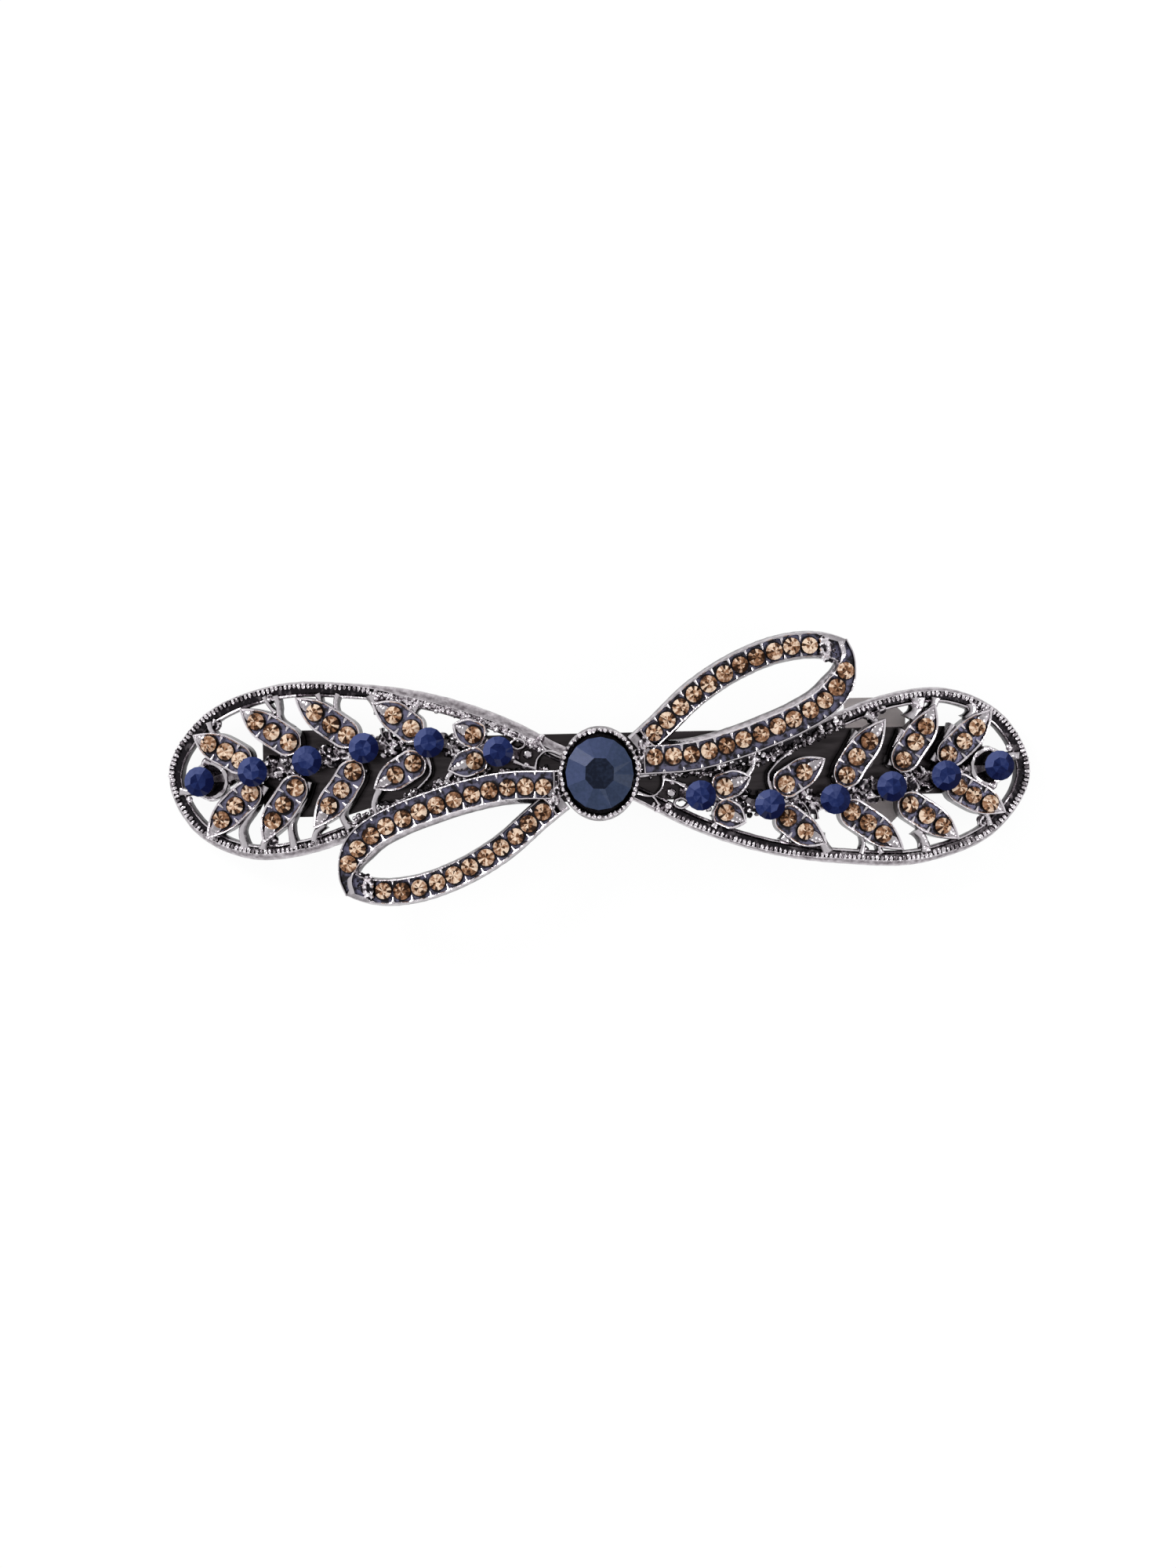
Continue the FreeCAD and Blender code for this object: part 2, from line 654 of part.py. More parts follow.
LEAF_STONE = chaton(size("leaf_stone_rad"), size("small_crown"), size("small_point"))
LOOP_STONE = chaton(size("loop_stone_rad"), size("small_crown"), size("small_point"))
NAVY_STONE = chaton(size("navy_rad"), size("navy_crown"), size("navy_point"))
LEAF_SEAT = seat(size("leaf_stone_rad"), size("small_point"), size("small_crown"))
LOOP_SEAT = seat(size("loop_stone_rad"), size("small_point"), 1.0)
NAVY_SEAT = seat(size("navy_rad"), size("navy_point"), 1.0)
BEZEL_TRIM = prism(oval(size("bezel_half_along") + size("trim_gap"),
                        size("bezel_half_across") + size("trim_gap")))


def stone_group(stone, spots, lift):
    """Several stones of one size as one node."""
    return Part.makeCompound([seated(stone, spot, lift) for spot in spots])


def shape_node(name, shape):
    """A finished sub-part whose shape was worked out above from the sheet's sizes."""
    thing = doc.addObject("Part::Feature", name)
    thing.Shape = shape
    return keep(name, thing)


# ---------------------------------------------------------------- bow: wings

LEAF_BASE_REACH = 1.35


def leaf_face(leaf, turn):
    """The plan of one leaf, from its tip to just past its last stone."""
    tip, last = bow_spot(leaf[0], turn), bow_spot(leaf[-1], turn)
    run = (last - tip).normalize()
    width = size("leaf_width") if len(leaf) > 2 else size("small_leaf_width")
    return marquise(tip, last + run * LEAF_BASE_REACH, width)


def set_in(curve, width):
    """The line through a closed curve's own points, each moved inwards by a width."""
    count = len(RIM_OUTLINE)
    first, last = curve.FirstParameter, curve.LastParameter
    knots = curve.getKnots()[:count]
    moved = []
    for knot in knots:
        forwards = curve.tangent(min(max(knot, first), last))[0]
        moved.append(curve.value(knot) + Vector(-forwards.y, forwards.x, 0) * width)
    inner = Part.BSplineCurve()
    inner.interpolate(moved, PeriodicFlag=True)
    return inner


def rim_face(turn):
    """The rim: a smooth closed outline and the same line set in by the rim's width."""
    curve = Part.BSplineCurve()
    curve.interpolate([bow_spot(spot, turn) for spot in RIM_OUTLINE], PeriodicFlag=True)
    outside = Part.Face(Part.Wire(curve.toShape()))
    inside = Part.Face(Part.Wire(set_in(curve, size("rim_width")).toShape()))
    return outside.cut(inside)


def wing(prefix, turn):
    """One openwork wing, its six navy stones and its ten leaves of small stones."""
    navy = [bow_spot(spot, turn) for spot in NAVY_SPOTS]
    leaves = UPPER_LEAVES + LOWER_LEAVES
    low, rim_top = size("solder_thick"), size("rim_top")
    stems = navy + [bow_spot(SPINE_END, turn)]
    bars = [bar(a, b, size("spine_width")) for a, b in zip(stems, stems[1:])]
    bars += [bar(bow_spot(a, turn), bow_spot(b, turn), size("strut_width"))
             for a, b in STRUTS]
    pieces = [raise_face(face, low, rim_top) for face in rim_face(turn).Faces + bars]
    pieces += [raise_face(leaf_face(leaf, turn), low, size("leaf_top"))
               for leaf in leaves]
    pieces += [raise_face(disc(spot, size("cup_rad")), low, size("cup_top"))
               for spot in navy]
    solid = pieces[0].multiFuse(pieces[1:])
    seats = [seated(LEAF_SEAT, bow_spot(spot, turn), size("leaf_top"))
             for leaf in leaves for spot in leaf[1:]]
    seats += [seated(NAVY_SEAT, spot, size("cup_top")) for spot in navy]
    for tool in seats + [BEZEL_TRIM]:
        solid = solid.cut(tool)
    shape_node(prefix + "_wing", largest(solid))
    for number, spot in enumerate(navy, start=1):
        shape_node(f"{prefix}_navy_stone_{number}",
                   seated(NAVY_STONE, spot, size("cup_top")))
    for row, group in (("upper", UPPER_LEAVES), ("lower", LOWER_LEAVES)):
        for number, leaf in enumerate(group, start=1):
            spots = [bow_spot(spot, turn) for spot in leaf[1:]]
            shape_node(f"{prefix}_{row}_leaf_stones_{number}",
                       stone_group(LEAF_STONE, spots, size("leaf_top")))


def largest(shape):
    """The one solid that matters, when a trim leaves crumbs."""
    return max(shape.Solids, key=lambda solid: solid.Volume)


wing("left", 1)
wing("right", -1)

# ---------------------------------------------------------------- bow: loops


def smooth(spots, closed=False):
    """A smooth line through plan places."""
    curve = Part.BSplineCurve()
    curve.interpolate(spots, PeriodicFlag=closed)
    return curve.toShape()


def spread(line, count):
    """Evenly spaced places along a line, from one end to the other."""
    step = line.Length / (count - 1)
    return [line.valueAt(line.getParameterByLength(step * number))
            for number in range(count)]


def loop(prefix, turn):
    """One folded ribbon loop and its two strands of stones."""
    def placed(spots):
        tilt = Rotation(UP, -turn * size("loop_tilt"))
        leaned = [tilt.multVec(Vector(*spot, 0)) for spot in spots]
        return [bow_spot((spot.x, spot.y), turn) for spot in leaned]

    edge = smooth(placed(LOOP_OUTLINE))
    closing = Part.LineSegment(edge.valueAt(edge.LastParameter),
                               edge.valueAt(edge.FirstParameter)).toShape()
    whole = Part.Face(Part.Wire([edge, closing]))
    opening = Part.Face(Part.Wire(smooth(placed(LOOP_OPENING), True)))
    solid = prism(whole).cut(prism(opening))
    solid = solid.common(layer(size("loop_low"), size("loop_top")))
    foot = raise_face(disc(placed([LOOP_FOOT])[0], size("foot_rad")),
                      size("solder_thick"), size("loop_low") + 0.3)
    solid = solid.fuse(foot)
    near = spread(smooth(placed(NEAR_LINE)), NEAR_STONES)
    far = spread(smooth(placed(FAR_LINE)), FAR_STONES)
    seats = [seated(LOOP_SEAT, spot, size("loop_top")) for spot in near + far]
    for tool in seats + [BEZEL_TRIM]:
        solid = solid.cut(tool)
    shape_node(prefix + "_loop", largest(solid))
    shape_node(prefix + "_loop_near_stones",
               stone_group(LOOP_STONE, near, size("loop_top")))
    shape_node(prefix + "_loop_far_stones",
               stone_group(LOOP_STONE, far, size("loop_top")))


loop("lower", 1)
loop("upper", -1)

# ---------------------------------------------------------------- bow: centre

BEZEL_LOW = size("arch_top") + size("solder_thick")
bezel_solid = oval(size("bezel_half_along"), size("bezel_half_across"))
bezel_solid.translate(Vector(0, 0, BEZEL_LOW))
bezel_solid = bezel_solid.extrude(Vector(0, 0, size("bezel_high")))
bezel_hollow = oval(size("bezel_half_along") - size("bezel_wall"),
                    size("bezel_half_across") - size("bezel_wall"))
bezel_hollow.translate(Vector(0, 0, BEZEL_LOW + size("bezel_floor")))
bezel_hollow = bezel_hollow.extrude(Vector(0, 0, size("bezel_high")))
shape_node("centre_bezel", bezel_solid.cut(bezel_hollow))


def oval_ring(share, up):
    """One outline of the centre stone, at a height."""
    face = oval(size("centre_half_along") * share, size("centre_half_across") * share)
    face.translate(Vector(0, 0, up))
    return face.OuterWire


STONE_MIDDLE = bow_spot((0, 0), 1)
girdle_up = size("centre_girdle")
girdle = size("girdle_high") * 2
crown = Part.makeLoft([oval_ring(1, girdle_up + girdle),
                       oval_ring(size("centre_table"),
                                 girdle_up + girdle + size("centre_crown"))], True, True)
belt = Part.makeLoft([oval_ring(1, girdle_up), oval_ring(1, girdle_up + girdle)],
                     True, True)
pavilion = Part.makeLoft([oval_ring(0.12, girdle_up - size("centre_point")),
                          oval_ring(1, girdle_up)], True, True)
shape_node("centre_stone", crown.multiFuse([belt, pavilion]).removeSplitter())

# ---------------------------------------------------------------- solder

PAD_SPOTS = [NAVY_SPOTS[3], NAVY_SPOTS[5]]
pads = [raise_face(disc(bow_spot(spot, turn), size("solder_rad")), 0,
                   size("solder_thick"))
        for turn in (1, -1) for spot in PAD_SPOTS]
pads += [raise_face(disc(bow_spot(LOOP_FOOT, turn), size("foot_rad")), 0,
                    size("solder_thick")) for turn in (1, -1)]
middle_pad = Part.makeCylinder(2 * size("solder_rad"), 2 * size("solder_thick"),
                               STONE_MIDDLE + Vector(0, 0, BEZEL_LOW
                                                     - 2 * size("solder_thick")))
pads.append(middle_pad.cut(Part.makeCylinder(
    ARCH_RADIUS, 2 * LAYER_HALF, ARCH_CENTRE - Vector(0, LAYER_HALF, 0), Vector(0, 1, 0))))
shape_node("solder_joints", Part.makeCompound(pads))

# ---------------------------------------------------------------- check and write

doc.recompute()
for thing in doc.Objects:
    if "Invalid" in thing.State or "Error" in thing.State:
        raise RuntimeError(f"{thing.Label} failed: {thing.State}")
os.makedirs("parts", exist_ok=True)
for name, thing in nodes.items():
    shape = thing.Shape
    if shape.isNull() or not shape.isValid():
        raise RuntimeError(f"{name} has no valid shape")
    shape.exportStep(f"parts/{name}.step")
    print(f"{name}: {len(shape.Solids)} solids, {shape.Volume:.2f} cubic mm")
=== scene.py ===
import math
import random
from types import SimpleNamespace

import bmesh
import bpy
from bl_math import smoothstep
from mathutils import Matrix, Vector, noise
from mathutils.geometry import interpolate_bezier


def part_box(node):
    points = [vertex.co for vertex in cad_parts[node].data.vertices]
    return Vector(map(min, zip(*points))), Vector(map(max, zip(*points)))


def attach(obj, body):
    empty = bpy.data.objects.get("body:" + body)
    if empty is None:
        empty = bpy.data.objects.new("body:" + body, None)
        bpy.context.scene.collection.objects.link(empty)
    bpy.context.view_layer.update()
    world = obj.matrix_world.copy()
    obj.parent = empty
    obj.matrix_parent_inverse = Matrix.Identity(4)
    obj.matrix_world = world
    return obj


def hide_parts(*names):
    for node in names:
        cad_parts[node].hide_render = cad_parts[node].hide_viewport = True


bl_info = {
    "name": "Rhinestone Bow Clip",
    "version": (1, 0, 0),
    "blender": (4, 5, 0),
    "location": "View3D > Sidebar > Bow Clip",
    "description": "Builds the looks of a rhinestone bow hair clip on its packed frame",
    "category": "Object",
}

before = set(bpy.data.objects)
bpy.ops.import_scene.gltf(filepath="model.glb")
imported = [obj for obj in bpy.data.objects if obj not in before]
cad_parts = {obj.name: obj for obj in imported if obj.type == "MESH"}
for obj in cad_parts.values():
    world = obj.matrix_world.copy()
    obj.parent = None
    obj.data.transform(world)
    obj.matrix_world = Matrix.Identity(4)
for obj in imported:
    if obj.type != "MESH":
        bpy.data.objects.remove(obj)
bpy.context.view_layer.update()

# ---------------------------------------------------------------- layout
# Places are millimetres along and across from the middle of the centre stone, for the
# left wing and the lower loop.  The right wing and the upper loop are half a turn on.

MM = 0.001
TURNS = {"left": 1, "right": -1, "lower": 1, "upper": -1}
ARCH_RADIUS = 170.0
ARCH_TOP = 8.0
BOW_TURN = math.radians(-1.27)
BOW_SHIFT = -0.71
LOOP_TILT = math.radians(1.4)

NAVY_SPOTS = [(-44.3, -0.9), (-38.3, 0.2), (-32.2, 1.4), (-25.9, 2.8), (-18.7, 3.4),
              (-11.1, 2.4)]
STEM_LINE = NAVY_SPOTS + [(-8.8, 2.1)]

# each leaf: its tip, then its stones from the tip to the base
LEAVES = {
    "upper": [
        [(-45.2, 4.3), (-43.3, 3.25), (-41.5, 2.4), (-39.8, 1.45)],
        [(-39.9, 7.2), (-38.0, 5.8), (-36.2, 4.6), (-34.3, 3.4)],
        [(-33.7, 8.4), (-31.4, 6.7), (-29.6, 5.4), (-27.8, 4.2)],
        [(-25.1, 7.7), (-22.7, 6.4), (-20.7, 4.9)],
        [(-16.2, 5.4), (-13.9, 4.3)],
    ],
    "lower": [
        [(-43.6, -7.2), (-41.85, -5.15), (-40.4, -3.6), (-38.7, -2.1)],
        [(-37.2, -7.7), (-36.1, -5.25), (-34.9, -3.5), (-33.6, -1.5)],
        [(-31.6, -6.1), (-29.8, -3.6), (-28.4, -1.8), (-27.2, 0.2)],
        [(-24.9, -1.7), (-22.5, -0.2), (-20.5, 1.1)],
        [(-16.7, 0.3), (-13.7, 1.4)],
    ],
}

RIM_OUTLINE = [(-3.8, 3.0), (-10.7, 6.3), (-18.2, 8.7), (-26.7, 9.9), (-36.8, 9.7),
               (-44.9, 5.9), (-48.2, -0.1), (-45.8, -5.9), (-39.4, -9.4), (-32.3, -8.9),
               (-26.4, -6.8), (-20.0, -3.8), (-12.6, -1.7), (-4.4, -1.2), (1.5, 0.8)]

# curved blades between the rim, the leaves and the stem, with their widths
STRUTS = [
    ([(-43.5, 5.7), (-43.2, 4.9), (-42.4, 3.8)], 0.8),
    ([(-31.2, 8.8), (-30.8, 7.8), (-29.8, 6.6)], 0.7),
    ([(-28.9, 8.8), (-29.2, 7.9), (-28.9, 6.6), (-27.2, 4.9)], 0.6),
    ([(-25.2, 8.7), (-24.8, 7.9), (-24.2, 7.0)], 1.4),
    ([(-20.4, 7.4), (-20.6, 6.7), (-20.4, 5.8)], 1.1),
    ([(-12.6, 5.9), (-12.9, 5.3), (-12.6, 4.4)], 0.7),
    ([(-43.1, -7.2), (-42.8, -6.6), (-42.2, -6.0)], 1.0),
    ([(-37.3, -8.4), (-37.1, -7.6), (-36.4, -6.8)], 1.1),
    ([(-19.0, 1.8), (-18.6, 0.2), (-19.8, -1.4), (-21.0, -2.4)], 0.5),
    ([(-16.9, -2.4), (-16.9, -0.9), (-16.0, 0.6)], 0.8),
    ([(-46.7, -2.0), (-45.8, -2.1), (-44.3, -0.9)], 0.9),
    ([(-24.1, 5.0), (-23.8, 3.9), (-23.0, 3.0)], 0.32),
    ([(-23.3, 5.0), (-23.0, 3.9), (-22.3, 3.1)], 0.32),
]

# the blades that only one of the wings has
OWN_STRUTS = {
    "left": [
        ([(-37.2, 8.5), (-36.7, 7.6), (-35.9, 6.7)], 0.55),
        ([(-35.9, 8.6), (-35.6, 7.5), (-35.5, 6.3), (-34.2, 4.9)], 0.7),
        ([(-37.0, -1.4), (-38.4, -4.0), (-39.7, -6.2), (-39.3, -8.3)], 0.9),
        ([(-32.2, -0.9), (-32.7, -3.0), (-34.1, -5.2), (-33.8, -8.3)], 0.9),
        ([(-31.5, -7.9), (-31.5, -6.9), (-30.6, -5.6)], 0.9),
        ([(-26.0, 0.5), (-26.6, -1.2), (-27.6, -3.2), (-28.4, -4.6), (-27.6, -6.1)], 0.9),
        ([(-24.5, -5.2), (-24.9, -3.4), (-24.3, -1.8)], 0.8),
    ],
    "right": [
        ([(-36.2, 8.6), (-36.0, 7.4), (-35.2, 6.2)], 1.2),
        ([(-41.4, -7.8), (-41.5, -7.0), (-41.0, -6.0)], 1.3),
        ([(-35.3, -8.4), (-35.3, -7.5), (-34.6, -6.0)], 1.7),
        ([(-29.4, -6.6), (-30.2, -6.1), (-30.9, -5.4)], 0.9),
        ([(-37.0, -1.4), (-38.3, -3.8), (-39.3, -5.4)], 0.8),
        ([(-32.2, -0.9), (-32.7, -3.0), (-33.7, -4.8)], 0.8),
        ([(-26.0, 0.5), (-26.6, -1.2), (-27.6, -3.2), (-28.6, -4.6)], 0.9),
    ],
}

# crumpled patches where blades run into the rim and the leaves: place and radius
PATCHES = {
    "left": [(-42.8, 5.5, 0.75), (-42.6, -6.8, 0.6), (-36.2, -7.5, 0.6), (-31.2, -7.1, 0.5),
             (-24.6, 8.0, 0.7), (-36.4, 8.3, 0.6)],
    "right": [(-42.8, 5.2, 0.75), (-42.7, -6.8, 0.6), (-35.2, -7.6, 0.8),
              (-41.5, -7.3, 0.7), (-30.2, -6.2, 0.7), (-36.1, 8.0, 0.7),
              (-29.2, 8.4, 0.6), (-31.2, -7.2, 0.6)],
}

# wire curls at the stem's inner end, with their widths
CURLS = [
    ([(-9.9, 3.2), (-9.1, 3.8), (-8.2, 3.3), (-8.8, 2.7), (-9.9, 3.1)], 0.4),
    ([(-7.0, 0.2), (-6.9, 1.4), (-6.0, 2.4), (-4.2, 2.1)], 0.42),
    ([(-6.6, 3.5), (-6.3, 3.0), (-5.9, 2.5)], 0.4),
    ([(-9.4, 1.3), (-8.1, 0.8), (-7.0, 0.5)], 0.5),
]
KNOTS = [(-7.6, 3.5, 0.5), (-7.9, 2.1, 0.55), (-8.1, 0.8, 0.45), (-43.7, 1.3, 0.55),
         (-9.6, 1.7, 0.4), (-6.4, 3.9, 0.4), (-42.3, 1.6, 0.35), (-45.6, -2.9, 0.4)]

# the middle lines of the ribbon loop's two strands, along their stones
NEAR_LINE = [(-4.4, -1.55), (-6.1, -1.6), (-10.2, -1.85), (-14.65, -2.9), (-18.4, -4.2),
             (-22.1, -5.75), (-25.4, -7.85), (-27.3, -10.6), (-27.6, -12.4),
             (-27.1, -14.0)]
FAR_LINE = [(-4.2, -2.7), (-6.1, -4.3), (-11.0, -8.7), (-16.3, -11.8), (-20.0, -13.1),
            (-23.4, -13.5), (-25.6, -13.2), (-26.9, -12.7)]
# the two strands: their lines, the places of their first and last stones, and how many
STRANDS = {
    "near": (NEAR_LINE, (-6.1, -1.6), (-27.3, -10.6), 13),
    "far": (FAR_LINE, (-6.1, -4.3), (-23.4, -13.5), 11),
}
CAPS = [(-4.5, -1.0, 0.75), (-4.5, -2.0, 0.7), (-4.9, -3.1, 0.75), (-5.2, -3.9, 0.5)]
# the crumpled patch past the last stone, and specks between it and the fold
FOLD_PATCH = [(-25.0, -12.6, 0.75), (-25.15, -13.3, 0.85), (-25.0, -13.95, 0.65),
              (-25.2, -12.1, 0.5), (-26.15, -12.9, 0.22), (-26.4, -12.4, 0.18),
              (-25.9, -11.8, 0.35)]
END_BARS = [[(-5.0, 0.1), (-4.95, -1.4), (-5.05, -2.8)],
            [(-4.6, -4.6), (-5.2, -3.7), (-6.0, -2.9)]]

# crumpled nuggets between two navy stones: their share of the way and place beside it
NUGGETS = [(0.33, 0.75), (0.42, -0.7), (0.6, 0.6), (0.68, -0.8)]
# the hammered wedge in a leaf's tip: balls at a share of the way to the tip, and radii
WEDGE = [(0.4, 0.7), (0.55, 0.6), (0.7, 0.42), (0.82, 0.3)]
# the ring round the stem's outer end: its middle and its half sizes
END_RING = (-43.3, -0.8, 2.1, 2.2)

# where the rim's beads end towards the bow's middle, and where they turn to crumbs
RIM_BEADS_END = -5.5
BOTTOM_CRUMBS = -27.0
TOP_CRUMBS = -25.0

# how far a seat stands out round its stone
SEAT_RIM = 0.17
# heights of a stone's crown and of the point below it
SMALL_CUT = (0.42, 1.0)
NAVY_CUT = (0.4, 1.4)

# lifts above the plate's arch, shared with the frame
FOOT_LIFT = 0.3
RIM_LIFT = 1.9
LEAF_LIFT = 2.3
CUP_LIFT = 3.3
LOOP_FOOT_LIFT = 1.95
LOOP_LIFT = 3.75
# lifts of what the stem carries
BLADE_TOP = 1.75
CURL_TOP, CURL_FOOT = 2.0, 0.9
PATCH_LIFT = 1.25
KNOT_LIFT = 1.6

NOISE_SEED = 1

# how deep a place of the casting lies, as its finish reads it
BRIGHT, WORN, BLACK = 0.0, 0.3, 0.66


def linear(code):
    """An sRGB hex colour as linear red, green and blue."""
    parts = [int(code[i:i + 2], 16) / 255 for i in (0, 2, 4)]
    return [p / 12.92 if p <= 0.04045 else ((p + 0.055) / 1.055) ** 2.4 for p in parts]


def length_property(name, description, default):
    """A size in metres that a user may change."""
    return bpy.props.FloatProperty(name=name, description=description, default=default,
                                   min=0.0, unit="LENGTH", subtype="DISTANCE",
                                   precision=5)


def colour_property(name, description, code):
    """A finish's colour that a user may change."""
    return bpy.props.FloatVectorProperty(name=name, description=description, size=3,
                                         min=0.0, max=1.0, subtype="COLOR",
                                         default=linear(code))


class BowClipSizes(bpy.types.PropertyGroup):
    """Sizes of the cast bow and its stones."""

    rim_width: length_property("Rim width", "Width of each wing's rim", 0.0017)
    bead_pitch: length_property("Bead pitch", "Spacing of the rim's beads", 0.00052)
    bead_radius: length_property("Bead radius", "Radius of the rim's beads", 0.00024)
    wire_width: length_property("Wire edge", "Width of a leaf's raised edge", 0.00026)
    leaf_width: length_property("Leaf width", "Widest part of a long leaf", 0.0034)
    small_leaf_width: length_property("Small leaf width", "Widest part of a short leaf",
                                      0.0031)
    channel_deep: length_property("Channel depth", "How far the stones' floor lies below "
                                  "the ribbon's edges", 0.0005)
    leaf_stone: length_property("Leaf stone", "Radius of a leaf's stones", 0.00094)
    loop_stone: length_property("Loop stone", "Radius of a loop's stones", 0.00092)
    navy_stone: length_property("Navy stone", "Radius of the stem's stones", 0.00168)
    bezel_bead: length_property("Bezel bead", "Radius of the bezel's beads", 0.00029)


class BowClipColours(bpy.types.PropertyGroup):
    """Colours of the plating, the clip and the stones."""

    bright: colour_property("Polished plating", "Casting where it is polished", "E4DEE3")
    middle: colour_property("Worn plating", "Casting on its sides", "766F74")
    recess: colour_property("Blackened recess", "Casting where it stays black", "2B282C")
    floor: colour_property("Setting floor", "Floor under the small stones", "77758F")
    # the clip's dark steel darkens in bands along its length that paint reflections
    clip: colour_property("Clip steel", "Dark nickel on the clip's plates", "4A4547")
    # the catch's near-white colour paints a lamp's reflection on its nickel jaws
    tab: colour_property("Catch steel", "Nickel on the catch's jaws", "F4EAEA")
    # the stones' facet colours: their bright and dark ends paint the facets' reflections,
    # light and shade
    champagne_light: colour_property("Champagne light", "Bright facets", "F3DAC2")
    champagne: colour_property("Champagne", "Middle facets", "9C7052")
    champagne_dark: colour_property("Champagne dark", "Dark facets", "301D12")
    navy_light: colour_property("Navy light", "Bright facets", "4C5684")
    navy: colour_property("Navy", "Middle facets", "1F2B5A")
    navy_dark: colour_property("Navy dark", "Dark facets", "060D34")
    centre_light: colour_property("Centre light", "Bright facets", "4A5479")
    centre: colour_property("Centre", "Middle facets", "354059")
    centre_dark: colour_property("Centre dark", "Table", "171C2A")


def sizes_in_mm(context):
    """The user's sizes in millimetres, the unit in which pieces are drawn."""
    group = context.scene.bow_clip_sizes
    names = [p.identifier for p in group.bl_rna.properties if p.type == "FLOAT"]
    return SimpleNamespace(**{name: getattr(group, name) / MM for name in names})


# ---------------------------------------------------------------- drawing helpers


def smooth_line(spots, step, closed=False):
    """Points about one step apart along a smooth line through the spots."""
    points = [Vector((*spot, 0.0)) for spot in spots]
    count = len(points)

    def heading(i):
        before, here, after = points[i - 1], points[i % count], points[(i + 1) % count]
        if not closed and i % count == 0:
            return (after - here).normalized()
        if not closed and i % count == count - 1:
            return (here - before).normalized()
        back, ahead = (here - before).length, (after - here).length
        return ((here - before) / back * ahead + (after - here) / ahead * back).normalized()

    fine = []
    for i in range(count if closed else count - 1):
        start, end = points[i], points[(i + 1) % count]
        reach = (end - start).length / 3
        fine += interpolate_bezier(start, start + heading(i) * reach,
                                   end - heading((i + 1) % count) * reach, end, 24)[:-1]
    fine.append(points[0] if closed else points[-1])
    run = sum((b - a).length for a, b in zip(fine, fine[1:]))
    spots = evenly(fine, max(2, round(run / step)))
    return spots[:-1] if closed else spots


def evenly(line, spans):
    """A line of points spaced out again, evenly, with so many spans."""
    reach = [0.0]
    for a, b in zip(line, line[1:]):
        reach.append(reach[-1] + (b - a).length)
    found, at = [], 0
    for number in range(spans + 1):
        wanted = reach[-1] * number / spans
        while at < len(line) - 2 and reach[at + 1] < wanted:
            at += 1
        share = (wanted - reach[at]) / (reach[at + 1] - reach[at])
        found.append(line[at].lerp(line[at + 1], min(1.0, share)))
    return found


def sides_of(line, closed=False):
    """The unit vector to the left of the line at each of its points."""
    last = len(line) - 1
    found = []
    for i in range(len(line)):
        before = line[i - 1] if closed or i else line[0]
        after = line[(i + 1) % len(line)] if closed or i < last else line[last]
        run = (after - before).normalized()
        found.append(Vector((-run.y, run.x, 0.0)))
    return found


def new_mesh():
    """An empty mesh with the layers that the finishes read."""
    bm = bmesh.new()
    bm.verts.layers.float.new("recess")
    bm.faces.layers.float.new("tone")
    return bm


def strip(bm, line, section, closed=False):
    """Draws a closed strip along a line.  section gives, for each place, its outline as
    (to the left, up, recess)."""
    recess = bm.verts.layers.float["recess"]
    sides = sides_of(line, closed)
    rows = [section(i, side) for i, side in enumerate(sides)]
    places = list(zip(line, sides, rows))
    if closed:
        places.append(places[0])
    around, along = len(rows[0]), len(places) - 1
    made = bmesh.ops.create_grid(bm, x_segments=around, y_segments=along, size=1.0)
    for number, vert in enumerate(made["verts"]):
        spot, side, row = places[number // (around + 1)]
        left, up, deep = row[number % (around + 1) % around]
        vert.co = spot + side * left + Vector((0.0, 0.0, up))
        vert[recess] = deep
    bmesh.ops.remove_doubles(bm, verts=made["verts"], dist=0.001)
    verts = [v for v in made["verts"] if v.is_valid]
    edges = {e for v in verts for e in v.link_edges}
    if not closed:
        bmesh.ops.holes_fill(bm, edges=[e for e in edges if e.is_boundary])
    return verts


def roughen(verts, amount, grain, seed=0.0):
    """Gives a cast surface its unevenness, up to an amount, at a grain's size."""
    # unseeded, vector noise starts from the clock and differs from run to run
    noise.seed_set(NOISE_SEED)
    for vert in verts:
        at = vert.co / grain + Vector((seed, seed, seed))
        vert.co += Vector(noise.noise_vector(at)) * amount


def paint(bm, verts, deep):
    """Tells the finish how deep some places of the casting lie."""
    for vert in verts:
        vert[bm.verts.layers.float["recess"]] = deep


def bead(bm, spot, radius, deep=BRIGHT, segments=8, rings=5, squash=1.0):
    """A small ball of metal."""
    matrix = Matrix.Translation(spot) @ Matrix.Diagonal((1, 1, squash, 1))
    made = bmesh.ops.create_uvsphere(bm, u_segments=segments, v_segments=rings,
                                     radius=radius, matrix=matrix)
    paint(bm, made["verts"], deep)
    return made["verts"]


def cone(bm, place, low, high, height, deep, segments=20):
    """A tapered post of metal.  low and high are the radii of its ends."""
    made = bmesh.ops.create_cone(bm, cap_ends=True, segments=segments, radius1=low,
                                 radius2=high, depth=height, matrix=place)
    paint(bm, made["verts"], deep)
    return made["verts"]


def crumple(bm, spot, radius, seed, shade=0.36):
    """A patch of the casting's crumpled texture: bright ridges and black folds."""
    verts = bead(bm, spot, radius, BRIGHT, 20, 12, 0.6)
    for vert in verts:
        fold = noise.noise(vert.co / 0.5 + Vector((seed, 0.0, 0.0)))
        vert.co.z += 0.45 * fold
        paint(bm, [vert], min(BLACK, max(BRIGHT, shade - 1.6 * fold)))
    roughen(verts, 0.15, 0.35, seed)


def crumples(bm, patches, up, **shade):
    """Crumpled patches at one lift, each given as along, across and radius."""
    for along, across, radius in patches:
        crumple(bm, Vector((along, across, up)), radius, along, **shade)


